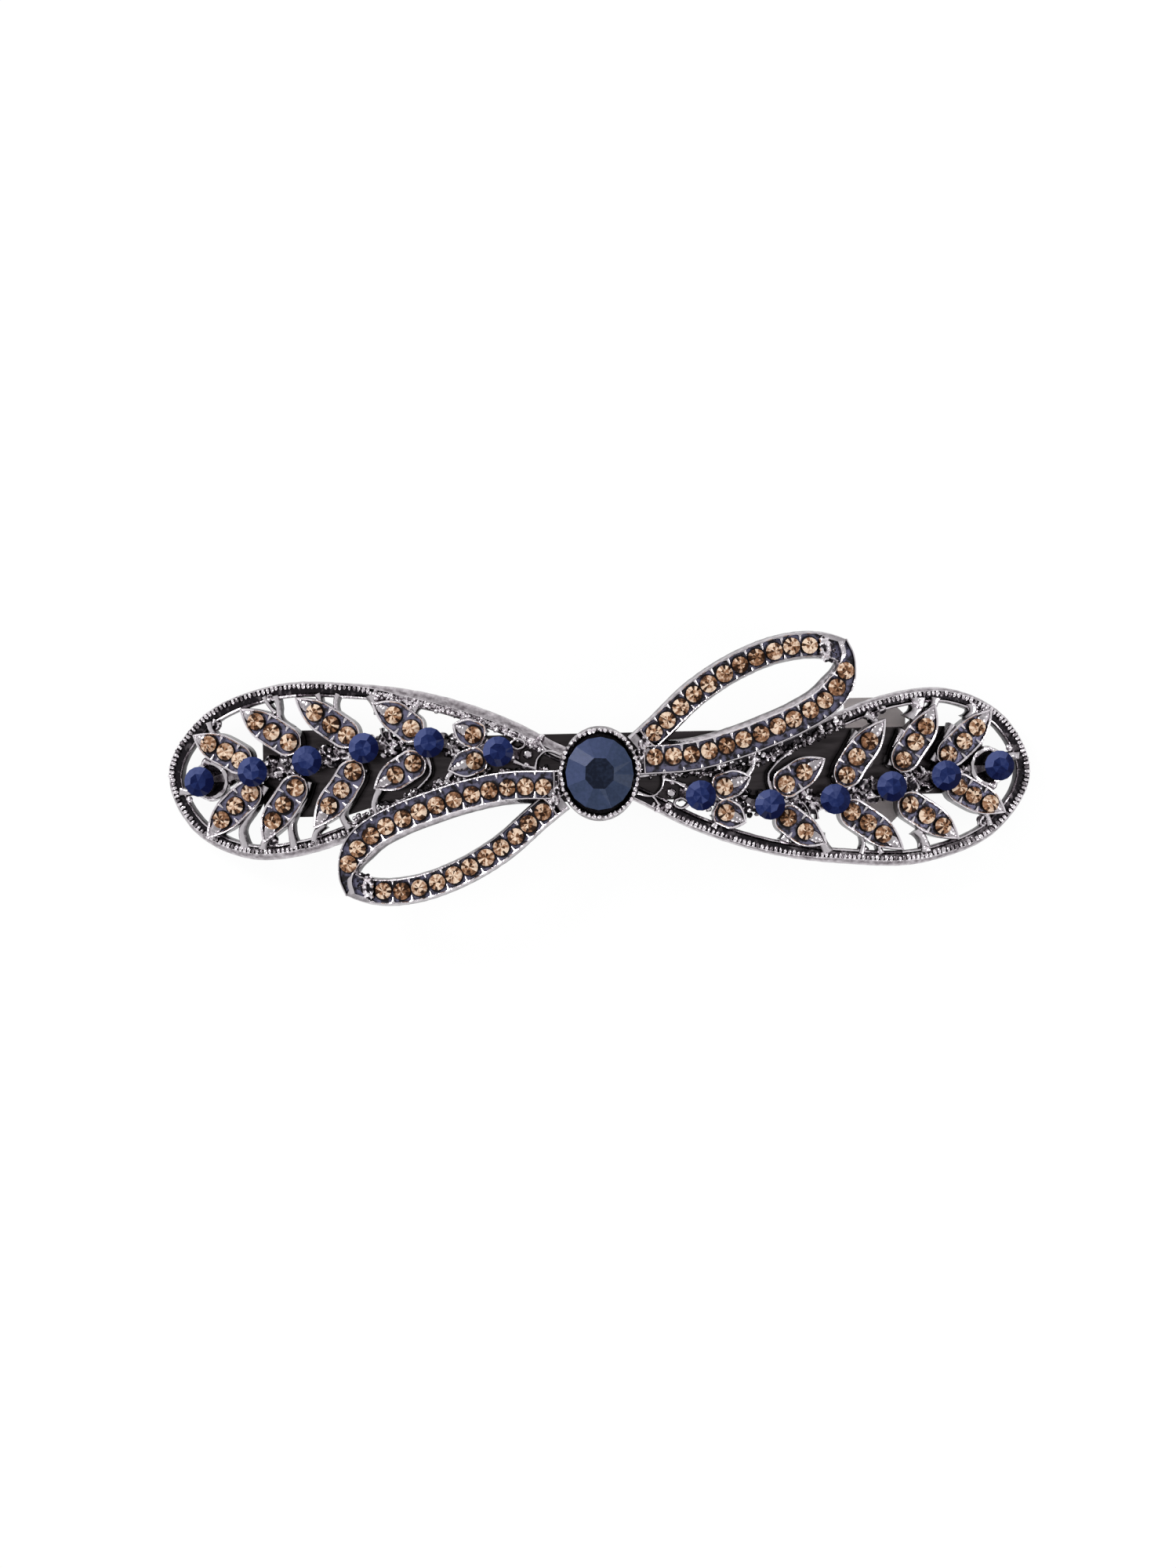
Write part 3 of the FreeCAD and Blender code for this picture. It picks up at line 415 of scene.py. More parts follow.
def blade(bm, spots, width, top, foot=FOOT_LIFT):
    """A cast blade or wire along a smooth line, wider where it runs into others."""
    line = smooth_line(spots, 0.35)
    last = len(line) - 1

    def section(i, side):
        half = width / 2 * (0.85 + 0.5 * abs(2 * i / last - 1) ** 3)
        return [(half, foot, BLACK), (half, top - 0.45, 0.52), (half * 0.7, top - 0.08, 0.3),
                (half * 0.3, top, BRIGHT), (-half * 0.3, top, 0.1),
                (-half * 0.7, top - 0.08, 0.3), (-half, top - 0.45, 0.52),
                (-half, foot, BLACK)]

    return strip(bm, line, section)


def stepped(bm, outline, steps):
    """Stands a plan outline up in steps of (inwards, up, recess), from its foot; the
    first two steps are straight above each other."""
    base = bm.faces.new([bm.verts.new(spot) for spot in outline])
    made = bmesh.ops.extrude_face_region(bm, geom=[base], use_keep_orig=True)
    face = next(g for g in made["geom"] if isinstance(g, bmesh.types.BMFace))
    for number, (inwards, up, deep) in enumerate(steps):
        if number > 1:
            bmesh.ops.inset_region(bm, faces=[face], thickness=inwards)
        verts = (face if number else base).verts
        for vert in verts:
            vert.co.z = up
        paint(bm, verts, deep)
        face.normal_update()


def onto_bow(bm, turn, level, tilt=0.0):
    """Takes a flat drawing to its place on the arch, in metres: what stands up on the
    arch leans with it, and plan places hold at one level."""
    angle = BOW_TURN - turn * tilt + (0.0 if turn > 0 else math.pi)
    place = Matrix.Translation((0.0, BOW_SHIFT, 0.0)) @ Matrix.Rotation(angle, 4, "Z")
    bmesh.ops.transform(bm, matrix=place, verts=bm.verts)
    for vert in bm.verts:
        lean = math.asin(vert.co.x / (ARCH_RADIUS + level))
        reach = ARCH_RADIUS + vert.co.z
        vert.co.x = reach * math.sin(lean)
        vert.co.z = reach * math.cos(lean) + ARCH_TOP - ARCH_RADIUS
    bmesh.ops.scale(bm, vec=(MM, MM, MM), verts=bm.verts)


def finish_piece(bm, name, material, nodes, body="clip_base", smooth=40.0):
    """Turns a drawing into a piece that rides on its body and stands for its nodes."""
    bmesh.ops.recalc_face_normals(bm, faces=bm.faces)
    mesh = bpy.data.meshes.new(name)
    bm.to_mesh(mesh)
    bm.free()
    mesh.materials.append(material)
    mesh.polygons.foreach_set("use_smooth", [smooth > 0] * len(mesh.polygons))
    if smooth > 0:
        mesh.set_sharp_from_angle(angle=math.radians(smooth))
    piece = bpy.data.objects.new(name, mesh)
    bpy.context.scene.collection.objects.link(piece)
    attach(piece, body)
    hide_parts(*nodes)


# ---------------------------------------------------------------- finishes


def feed(tree, node, inputs):
    """Links a node's inputs to sockets or sets them to values."""
    for socket, value in inputs.items():
        if isinstance(value, bpy.types.NodeSocket):
            tree.links.new(value, node.inputs[socket])
        else:
            node.inputs[socket].default_value = value


def add_node(tree, kind, inputs=None, stops=(), **settings):
    """Adds one node with its settings, its colour stops and its inputs."""
    made = tree.nodes.new(kind)
    for name, value in settings.items():
        setattr(made, name, value)
    for number, (position, colour) in enumerate(stops):
        elements = made.color_ramp.elements
        stop = elements[number] if number < 2 else elements.new(position)
        stop.position = position
        stop.color = (*colour, 1.0)
    feed(tree, made, inputs or {})
    return made


def attribute(tree, name):
    """A layer that the pieces carry."""
    return add_node(tree, "ShaderNodeAttribute", attribute_name=name).outputs["Fac"]


def maths(tree, operation, *values):
    """One sum of values."""
    return add_node(tree, "ShaderNodeMath", dict(enumerate(values)),
                    operation=operation).outputs["Value"]


def ranged(tree, value, old, new):
    """A value taken from one range to another."""
    names = ("From Min", "From Max", "To Min", "To Max")
    return add_node(tree, "ShaderNodeMapRange",
                    {"Value": value, **dict(zip(names, (*old, *new)))}).outputs["Result"]


def speckle(tree, place, scale, detail):
    """Noise whose grain is about one millimetre over its scale."""
    return add_node(tree, "ShaderNodeTexNoise",
                    {"Vector": place, "Scale": scale, "Detail": detail}).outputs["Fac"]


def ramp(tree, value, stops):
    """The colour that a value picks.  The first two stops are the outer ones."""
    return add_node(tree, "ShaderNodeValToRGB", {"Fac": value}, stops).outputs["Color"]


def bump(tree, height, strength, distance):
    """A skin raised by a height, up to a distance in millimetres."""
    return add_node(tree, "ShaderNodeBump",
                    {"Height": height, "Strength": strength,
                     "Distance": distance * MM}).outputs["Normal"]


def new_material(name):
    """An empty material with its shader and its object coordinates in millimetres."""
    made = bpy.data.materials.get(name)
    if made:
        return made, None, None, None
    made = bpy.data.materials.new(name)
    made.use_nodes = True
    tree = made.node_tree
    shader = tree.nodes["Principled BSDF"]
    place = add_node(tree, "ShaderNodeTexCoord")
    scaled = add_node(tree, "ShaderNodeVectorMath",
                      {0: place.outputs["Object"], "Scale": 1 / MM}, operation="SCALE")
    return made, tree, shader, scaled.outputs["Vector"]


# the range in which nearly all of a speckle's values lie
SPECKLES = (0.3, 0.7)


def blackened_casting(context):
    """Zinc alloy cast in a rubber mould, nickel plated, blackened and polished back: the
    tops are bright, the recesses stay black, and the skin is slightly pebbled."""
    made, tree, shader, place = new_material("blackened_nickel_casting")
    if tree is None:
        return made
    colours = context.scene.bow_clip_colours
    deep = attribute(tree, "recess")
    # stains about 0.6 mm across, and pebbles about 0.25 mm across
    stain = ranged(tree, speckle(tree, place, 1.6, 4.0), SPECKLES, (-1.0, 1.0))
    pebble = speckle(tree, place, 4.0, 1.0)
    # polished places are even, and the deeper a place, the more it is stained
    amount = ranged(tree, deep, (0.15, 0.7), (0.04, 0.2))
    tint = ramp(tree, maths(tree, "MULTIPLY_ADD", stain, amount, deep),
                [(0.1, colours.bright), (1.0, colours.floor), (0.34, colours.middle),
                 (0.52, colours.recess), (0.82, colours.recess)])
    # the settings' floors keep a violet patina that covers the metal
    patina = ranged(tree, deep, (0.8, 1.0), (1.0, 0.55))
    feed(tree, shader, {"Base Color": tint, "Normal": bump(tree, pebble, 0.3, 0.1),
                        "Roughness": ranged(tree, deep, (0.0, 1.0), (0.14, 0.34)),
                        "Metallic": patina})
    return made


# each kind of stone's glass, and how far its streaks stray from their facet's tone
GLASSES = {
    "champagne": ("champagne_foiled_glass", 0.28),
    "navy": ("navy_foiled_glass", 0.08),
    "centre": ("blue_grey_foiled_glass", 0.08),
}


def foiled_glass(context, kind):
    """Lead glass, ground into facets and foiled behind, under a hard wet gloss: each facet's
    colour, picked by its tone, paints the light, shade and reflections that it sends back."""
    name, stray = GLASSES[kind]
    made, tree, shader, place = new_material(name)
    if tree is None:
        return made
    colours = context.scene.bow_clip_colours
    dark, middle, light = (getattr(colours, kind + end) for end in ("_dark", "", "_light"))
    # streaks inside a facet, about 0.4 mm across
    streak = ranged(tree, speckle(tree, place, 2.6, 2.0), SPECKLES, (-stray, stray))
    tint = ramp(tree, maths(tree, "ADD", attribute(tree, "tone"), streak),
                [(0.05, dark), (0.95, light), (0.5, middle)])
    feed(tree, shader, {"Base Color": tint, "Roughness": 0.08, "IOR": 1.55,
                        "Specular IOR Level": 0.05})
    return made


def plated_steel(name, colour, roughness, grain, shade, metallic):
    """Spring steel strip, rolled and nickel plated: faint rolling marks along its length,
    with bands of painted reflection where the colour darkens to a shade, and a slight
    unevenness of gloss."""
    made, tree, shader, place = new_material(name)
    if tree is None:
        return made
    # painted reflection bands and rolling marks along X, drawn about 0.8 mm apart so that
    # they show
    drawn = add_node(tree, "ShaderNodeMapping", {"Vector": place, "Scale": (0.06, 1.0, 1.0)})
    lines_and_painted_sheen = speckle(tree, drawn.outputs["Vector"], grain, 4.0)
    tint = ramp(tree, lines_and_painted_sheen, [(0.36, [c * shade for c in colour]), (0.68, colour)])
    gloss = ranged(tree, lines_and_painted_sheen, SPECKLES, (roughness * 0.75, roughness * 1.3))
    feed(tree, shader, {"Base Color": tint, "Roughness": gloss,
                        "Normal": bump(tree, lines_and_painted_sheen, 0.12, 0.05), "Metallic": metallic})
    return made


def soft_solder():
    """Tin solder, melted and set: dull grey, with a rippled skin."""
    made, tree, shader, place = new_material("tin_solder")
    if tree is None:
        return made
    ripple = speckle(tree, place, 2.5, 2.0)
    tint = ramp(tree, ripple, [(0.3, linear("6E6A6C")), (0.7, linear("A9A5A6"))])
    feed(tree, shader, {"Base Color": tint, "Normal": bump(tree, ripple, 0.4, 0.1),
                        "Metallic": 1.0, "Roughness": 0.42})
    return made


# ---------------------------------------------------------------- cast pieces


def start_on(context, prefix, seed):
    """Which way a wing or loop is turned, the sizes, and its own random draws."""
    turn = TURNS[prefix]
    return turn, sizes_in_mm(context), random.Random(seed if turn > 0 else seed + 1)


def band_width(spot, side, spread):
    """How wide the rim's smooth outer slope is at a place.  Where it is spread, it is
    widest above the bow's inner leaves, and wider along the bottom than at the end.
    Where it isn't, it is widest above the outer leaves."""
    if side.y < 0:
        inner = smoothstep(-28.0, -19.0, spot.x)
        return 0.28 + 0.65 * spread * inner + 0.35 * (1 - spread) * (1 - inner) * side.y ** 2
    bottom = 0.42 * max(spread, 0.4) * side.y ** 2
    return 0.28 + bottom + 0.14 * spread * side.x ** 2


def draw_rim(bm, sizes, spread, rng):
    """The wing's rim: smooth outer slope, row of beads, black ledge and bright lip."""
    line = smooth_line(RIM_OUTLINE, 0.4, closed=True)

    def section(i, side):
        band = band_width(line[i], side, spread)
        wide = max(sizes.rim_width, band + 0.95)
        lip = 0.12 + 0.14 * abs(side.y)
        # the ledge under the crumbs above the inner leaves has rubbed bright
        pit = BLACK - (0.4 * smoothstep(0.3, 0.8, band) if side.y < 0 else 0.0)
        stain = pit - 0.3 * rng.random() ** 2
        return [(0.0, FOOT_LIFT, BLACK), (0.0, 0.7, WORN), (0.05, 1.1, 0.2),
                (band * 0.55, 1.5, 0.3), (band - 0.05, 1.68, 0.26),
                (band, 1.72, BRIGHT), (band + 0.04, 1.35, pit),
                (wide - lip - 0.2, 1.25, stain), (wide - lip - 0.06, 1.5, WORN),
                (wide - lip, 1.6, BRIGHT), (wide - 0.05, 1.48, 0.36),
                (wide, 1.3, BLACK), (wide, FOOT_LIFT, BLACK)]

    roughen(strip(bm, line, section, closed=True), 0.04, 0.8)
    beads = smooth_line(RIM_OUTLINE, sizes.bead_pitch, closed=True)
    top_crumbs = TOP_CRUMBS if spread > 0.5 else RIM_BEADS_END
    for spot, side in zip(beads, sides_of(beads, closed=True)):
        if spot.x > RIM_BEADS_END:
            continue
        # towards the bow's middle the row breaks up into crumbs
        crumbs = spot.x > (BOTTOM_CRUMBS if side.y > 0 else top_crumbs)
        for _ in range(4 if crumbs else 1):
            off = band_width(spot, side, spread) + sizes.bead_radius
            if crumbs:
                radius = rng.uniform(0.16, 0.28 if side.y < 0 else 0.34)
                off += rng.uniform(-0.15, 0.6 if side.y < 0 else 1.2)
                shift, longer = rng.uniform(-0.4, 0.4), rng.uniform(-0.2, 0.3)
                deep = rng.choice((0.0, 0.1, 0.2) if side.y < 0 else (0.0, 0.1, 0.35, 0.5))
            else:
                radius = sizes.bead_radius * rng.uniform(0.8, 1.05)
                off += rng.uniform(-0.05, 0.05)
                shift, longer = 0.0, 0.6
                deep = rng.choice((0.1, 0.1, 0.3))
            at = spot + side * off + Vector((-side.y, side.x, 0.0)) * shift
            at.z = RIM_LIFT - radius
            verts = bead(bm, at, radius, deep)
            # the ordered beads are drawn out across the rim
            for vert in verts:
                vert.co += side * (vert.co - at).dot(side) * longer
            roughen(verts, 0.16 if crumbs else 0.07, 0.35, rng.random())


def draw_stem(bm, prefix, rng):
    """The lumpy stem under the navy stones, its blades, curls and knots."""
    line = smooth_line(STEM_LINE, 0.35)

    def section(i, side):
        half = 0.95 + 0.4 * noise.noise(line[i] * 0.9)
        top = 1.35 + 0.25 * noise.noise(line[i] * 1.7 + Vector((5, 0, 0)))
        return [(half, FOOT_LIFT, BLACK), (half, top - 0.5, 0.5), (half * 0.5, top, WORN),
                (-half * 0.5, top, WORN), (-half, top - 0.5, 0.5),
                (-half, FOOT_LIFT, BLACK)]

    roughen(strip(bm, line, section), 0.14, 0.5)
    for spots, width in STRUTS + OWN_STRUTS[prefix]:
        roughen(blade(bm, spots, width, BLADE_TOP), 0.06, 0.6)
    crumples(bm, PATCHES[prefix], PATCH_LIFT)
    for spots, width in CURLS:
        roughen(blade(bm, spots, width, CURL_TOP, CURL_FOOT), 0.05, 0.5)
    for along, across, radius in KNOTS:
        verts = bead(bm, Vector((along, across, KNOT_LIFT)), radius, 0.05, 12, 8, 0.8)
        roughen(verts, 0.15, 0.4)
    along, across, half_along, half_across = END_RING
    angles = [math.tau * i / 9 for i in range(9)]
    ring = smooth_line([(math.cos(angle) * half_along + along,
                         math.sin(angle) * half_across + across) for angle in angles],
                       0.4, closed=True)
    roughen(strip(bm, ring, lambda i, side: [
        (0.0, FOOT_LIFT, BLACK), (-0.05, 1.1, WORN), (0.1, 1.6, BRIGHT),
        (0.45, 1.6, 0.1), (0.55, 0.9, BLACK), (1.5, 0.8, BLACK), (1.5, FOOT_LIFT, BLACK)],
        closed=True), 0.16, 0.6)
    # nuggets crowd both sides of the stem, bright on top and black between
    for one, two in zip(NAVY_SPOTS[1:], NAVY_SPOTS[2:]):
        run = Vector((*two, 0.0)) - Vector((*one, 0.0))
        for share, away in NUGGETS:
            at = Vector((*one, 1.3)) + run * share
            at += Vector((-run.y, run.x, 0.0)).normalized() * (away + rng.uniform(-0.2, 0.2))
            crumple(bm, at, rng.uniform(0.7, 0.95), rng.random() * 9)
    for spot, side in zip(line, sides_of(line)):
        if not -41.0 < spot.x < NAVY_SPOTS[-1][0]:
            continue
        way = 1 if rng.random() < 0.5 else -1
        away = rng.uniform(0.2, 1.3)
        at = spot + side * (way * away)
        at.z = 1.55 - 0.45 * away
        verts = bead(bm, at, rng.uniform(0.22, 0.42), rng.choice((0.0, 0.1, 0.3, 0.6)),
                     squash=0.85)
        roughen(verts, 0.14, 0.35, rng.random())


def leaf_line(leaf):
    """A leaf's middle line, from its tip to just past its last stone."""
    last, before = Vector(leaf[-1]), Vector(leaf[-2])
    end = last + (last - before).normalized() * 1.35
    return smooth_line([*leaf, (end.x, end.y)], 0.22)


def draw_leaf(bm, leaf, floor, sizes, rng):
    """One leaf: pointed cup with a raised wire edge, a sunk floor and small prongs.
    floor is the recess value that its floor is given, set apart for each wing."""
    line = leaf_line(leaf)
    sides = sides_of(line)
    width = sizes.leaf_width if len(leaf) > 2 else sizes.small_leaf_width
    count = len(line) - 1

    def half(i):
        share = i / count
        grow = math.sin(math.pi / 2 * min(1.0, share / 0.48)) ** 0.85
        close = math.sqrt(max(0.0, 1 - max(0.0, (share - 0.78) / 0.22) ** 2))
        return width / 2 * grow * max(close, 0.3)

    left = [line[i] + sides[i] * half(i) for i in range(count, 0, -1)]
    right = [line[i] - sides[i] * half(i) for i in range(1, count + 1)]
    wire = sizes.wire_width / 2
    stepped(bm, [*left, line[0], *right],
            [(0, FOOT_LIFT, BLACK), (0, 1.3, 0.5), (0.01, LEAF_LIFT - 0.2, 0.36),
             (wire * 0.4, LEAF_LIFT - 0.04, BRIGHT), (wire * 0.6, LEAF_LIFT, BRIGHT),
             (wire, LEAF_LIFT - 0.1, 0.1), (0.05, LEAF_LIFT - 0.42, floor)])
    for one, two in zip(leaf[1:], leaf[2:]):
        one, two = Vector((*one, 0.0)), Vector((*two, 0.0))
        place = min(range(count), key=lambda i: (line[i] - (one + two) / 2).length)
        draw_prongs(bm, one, two, half(place) - wire, half(place) - wire, LEAF_LIFT, rng)
    for spot in leaf[1:]:
        draw_seat(bm, spot, sizes.leaf_stone, LEAF_LIFT - 0.41)
    first, tip = Vector((*leaf[1], 0.0)), line[0]
    for share, radius in WEDGE:
        cap = first.lerp(tip, share)
        cap.z = LEAF_LIFT - 0.36
        roughen(bead(bm, cap, radius, 0.2, 12, 8, 0.5), 0.06, 0.5, rng.random())


def draw_seat(bm, spot, stone, up):
    """The black countersink that a small stone of some radius sits in."""
    rim = stone + SEAT_RIM
    cone(bm, Matrix.Translation((*spot[:2], up - 0.13)), rim - 0.1, rim, 0.3, 0.76)


def draw_prongs(bm, one, two, left, right, lift, rng, claw=0.6):
    """The two small claws between neighbouring stones, reaching in from the walls; the
    right one may be shorter."""
    run = (two - one).normalized()
    middle = (one + two) / 2 + run * rng.uniform(-0.1, 0.1)
    flat = Matrix.Diagonal((1.0, 0.55, 1.0, 1.0))
    for way, apart in ((1, left), (-1, right)):
        side = Vector((-run.y, run.x, 0.0)) * way
        long = min(apart - 0.62, 0.6 if way > 0 else claw) + rng.uniform(-0.1, 0.1)
        inwards = (-side + Vector((0, 0, -0.25))).normalized()
        turn = inwards.to_track_quat("Z", "Y").to_matrix().to_4x4()
        at = middle + side * (apart - 0.14) + inwards * (long / 2)
        at.z += lift - 0.1
        cone(bm, Matrix.Translation(at) @ turn @ flat, 0.17, 0.06, long, 0.06, 6)


def draw_navy_cup(bm, spot, sizes):
    """A navy stone's cup: a tapered seat that the stone covers."""
    top, height = sizes.navy_stone - 0.04, CUP_LIFT - 0.1 - FOOT_LIFT
    base = Matrix.Translation((*spot, (FOOT_LIFT + CUP_LIFT - 0.1) / 2))
    verts = cone(bm, base, top * 0.72, top, height, BLACK, 28)
    paint(bm, [v for v in verts if v.co.z > 1.8], 0.2)
    lid = max({f for v in verts for f in v.link_faces},
              key=lambda f: f.calc_center_median().z)
    bmesh.ops.inset_region(bm, faces=[lid], thickness=0.12)
    bmesh.ops.inset_region(bm, faces=[lid], thickness=0.1)
    for vert in lid.verts:
        vert.co.z -= 0.5
    paint(bm, lid.verts, BLACK)


def build_wing(context, prefix):
    """One wing's rim, leaves, cups and stem, as four pieces that stand for its node."""
    turn, sizes, rng = start_on(context, prefix, 11)
    metal = blackened_casting(context)
    leaves = [leaf for row in LEAVES.values() for leaf in row]
    spread, floor = (1.0, 0.97) if turn > 0 else (0.1, 0.91)
    for part, level, draw in (
            ("rim", RIM_LIFT, lambda bm: draw_rim(bm, sizes, spread, rng)),
            ("stem", RIM_LIFT, lambda bm: draw_stem(bm, prefix, rng)),
            ("leaves", LEAF_LIFT, lambda bm: [draw_leaf(bm, leaf, floor, sizes, rng)
                                              for leaf in leaves]),
            ("navy_cups", CUP_LIFT, lambda bm: [draw_navy_cup(bm, spot, sizes)
                                                for spot in NAVY_SPOTS])):
        bm = new_mesh()
        draw(bm)
        onto_bow(bm, turn, level)
        finish_piece(bm, f"{prefix}_{part}", metal, [prefix + "_wing"])


# ---------------------------------------------------------------- ribbon loops


def stone_spots(strand):
    """Evenly spaced stones along one strand, from its first to its last."""
    line, first, last, count = STRANDS[strand]
    fine = smooth_line(line, 0.05)
    start, end = (min(range(len(fine)), key=lambda i: (fine[i].xy - Vector(spot)).length)
                  for spot in (first, last))
    return evenly(fine[start:end + 1], count - 1)


def nearest_gap(spot, stones):
    """How far a place is from the nearest stone's middle."""
    return min((spot - stone).length for stone in stones)


def draw_strand(bm, strand, halves, lift, claw, crest, sizes, rng):
    """One strand of the ribbon: two walls, scalloped round the stones, and a floor.
    halves gives the half widths at a share of the way: to the left wall's crest and to
    its foot, and the same to the right.  crest is how deep the crests' tone is."""
    points, stones = smooth_line(STRANDS[strand][0], 0.2), stone_spots(strand)
    count = len(points) - 1
    pitch = (stones[1] - stones[0]).length

    def section(i, side):
        left, left_foot, right, right_foot = halves(i / count)
        gap = nearest_gap(points[i], stones)
        pinch = max(0.0, 1 - abs(gap - pitch / 2) / 0.3) if gap < pitch * 0.75 else 0.0
        fold = smoothstep(1.1, 1.7, gap)
        folding = fold if i > count / 2 else 0.0
        wall = 0.1 + 0.14 * pinch + 0.42 * folding
        bare = 0.92 - 0.7 * (fold - folding)
        floor = lift - sizes.channel_deep * (1 - 0.7 * (fold - folding))
        return [(left_foot - 0.02, LOOP_FOOT_LIFT, BLACK), (left_foot, lift - 1.2, 0.6),
                (left_foot * 0.7 + left * 0.3, lift - 0.6, 0.28),
                (left + 0.06, lift - 0.14, 0.2), (left, lift, crest),
                (left - wall, lift - 0.06, 0.14), (left - wall - 0.06, floor, bare),
                (-right + 0.2, floor, bare), (-right + 0.12, lift - 0.06, 0.24),
                (-right, lift, crest), (-right - 0.05, lift - 0.16, 0.4 - 0.2 * folding),
                (-right_foot * 0.7 - right * 0.3, lift - 0.6, 0.45 - 0.2 * folding),
                (-right_foot, lift - 1.2, 0.6), (-right_foot + 0.02, LOOP_FOOT_LIFT, BLACK)]

    roughen(strip(bm, points, section), 0.03, 0.6)
    for stone in stones:
        draw_seat(bm, stone, sizes.loop_stone, lift - sizes.channel_deep + 0.01)
    for number, (one, two) in enumerate(zip(stones, stones[1:])):
        left, _, right, _ = halves((number + 1) / len(stones) * 0.8)
        draw_prongs(bm, one, two, left, right, lift, rng, claw)


def near_halves(share):
    """The strand beside the wing narrows to a point where it folds over."""
    fold = smoothstep(0.78, 1.0, share)
    return 1.32 - 0.72 * fold, 1.85 - 1.05 * fold, 1.75 - 1.3 * fold, 1.85 - 1.3 * fold


def far_halves(share):
    """The outer strand keeps nearly its full width to the fold."""
    fold = smoothstep(0.8, 1.0, share)
    return 1.34 + 0.1 * fold, 1.62, 1.3 - 0.2 * fold, 1.5 - 0.2 * fold


def build_loop(context, prefix):
    """One folded ribbon loop, its hammered fold and its end caps."""
    turn, sizes, rng = start_on(context, prefix, 21)
    bm = new_mesh()
    draw_strand(bm, "far", far_halves, LOOP_LIFT - 0.12, 0.4, 0.24, sizes, rng)
    draw_strand(bm, "near", near_halves, LOOP_LIFT, 0.3, BRIGHT, sizes, rng)
    # hammered caps by the bezel and inside the fold, and bars that close the channels
    crumples(bm, CAPS, LOOP_LIFT - 0.45)
    crumples(bm, FOLD_PATCH, LOOP_LIFT - 0.42, shade=0.4 if turn > 0 else 0.1)
    for spots in END_BARS:
        blade(bm, spots, 0.34, LOOP_LIFT + 0.02, LOOP_FOOT_LIFT)
    foot = Matrix.Translation((-7.6, -2.3, (FOOT_LIFT + LOOP_FOOT_LIFT) / 2 + 0.1))
    cone(bm, foot, 0.6, 0.55, LOOP_FOOT_LIFT - FOOT_LIFT + 0.2, 0.6)
    onto_bow(bm, turn, LOOP_LIFT, LOOP_TILT)
    finish_piece(bm, prefix + "_ribbon", blackened_casting(context),
                 [prefix + "_loop"])


# ---------------------------------------------------------------- stones


def draw_chaton(bm, spot, lift, radius, crown, point, tones, rng, table=0.55):
    """A round pointed stone: eight-sided table, sixteen-sided crown, a point below."""
    tone = bm.faces.layers.float["tone"]
    spin = Matrix.Rotation(rng.uniform(0, math.tau), 4, "Z")
    place = Matrix.Translation((spot.x, spot.y, lift + crown / 2)) @ spin
    made = bmesh.ops.create_cone(bm, cap_ends=True, cap_tris=True, segments=16,
                                 radius1=radius, radius2=radius * table, depth=crown,
                                 matrix=place)
    tip = min(made["verts"], key=lambda v: (v.co.z, (v.co.xy - spot.xy).length))
    tip.co.z -= point
    ring = sorted((v for v in made["verts"] if v.co.z > lift + crown / 2
                   and (v.co.xy - spot.xy).length > radius * table / 2),
                  key=lambda v: math.atan2(v.co.y - spot.y, v.co.x - spot.x))
    corners = [v.co.copy() for v in ring]
    for number in range(1, len(ring), 2):
        before, after = corners[number - 1], corners[(number + 1) % len(ring)]
        ring[number].co = (before + after) / 2
    start = math.atan2(corners[0].y - spot.y, corners[0].x - spot.x)
    sets = {}
    for face in {f for v in made["verts"] for f in v.link_faces}:
        at = face.calc_center_median()
        around = (math.atan2(at.y - spot.y, at.x - spot.x) - start) % math.tau
        octant = int(around / math.tau * 8)
        sets.setdefault((at.z > lift + crown * 0.9, octant), []).append((around, face))
    for (on_table, octant), faces in sorted(sets.items()):
        middle = start + (octant + 0.5) * math.tau / 8
        tones(tone, [face for _, face in sorted(faces, key=lambda pair: pair[0])],
              on_table, middle, rng)


def painted_glint_tones(shift):
    """Painted reflections and glints on a small foiled stone's facets: bright and dark
    wedges side by side, darker or brighter by a shift from one stone to the next."""
    def tones(tone, faces, on_table, turn, rng):
        for face in faces:
            face[tone] = shift + rng.choice((0.0, 0.12, 0.3, 0.5, 0.6, 0.7, 0.85, 1.05))
    return tones


def lit_tones(table, shade, gain, towards, spread):
    """Facets brighter towards the light, each octant alike, over a dark table."""
    def tones(tone, faces, on_table, turn, rng):
        lit = 0.5 + 0.5 * math.cos(turn - towards)
        value = table if on_table else shade + gain * lit ** 2
        value += rng.uniform(-spread, spread)
        for number, face in enumerate(faces):
            face[tone] = value + (0.05 * (number % 2) if not on_table else 0.0)
    return tones


def stone_piece(context, name, nodes, glass, turn, level, draws, tilt=0.0):
    """Several stones of one kind as one piece."""
    bm = new_mesh()
    for draw in draws:
        draw(bm)
    onto_bow(bm, turn, level, tilt)
    finish_piece(bm, name, glass, nodes, smooth=0)


def small_stone(spot, lift, radius, rng):
    """Draws one champagne stone, set a little off its spot."""
    spot = Vector((spot[0] + rng.uniform(-0.06, 0.06), spot[1] + rng.uniform(-0.06, 0.06),
                   0.0))
    radius *= rng.uniform(0.96, 1.03)
    # the stone's facets get painted reflections, a little darker or brighter for this stone
    tones = painted_glint_tones(rng.choice((-0.2, -0.1, 0.0, 0.04, 0.1)))
    return lambda bm: draw_chaton(bm, spot, lift, radius, *SMALL_CUT, tones, rng)


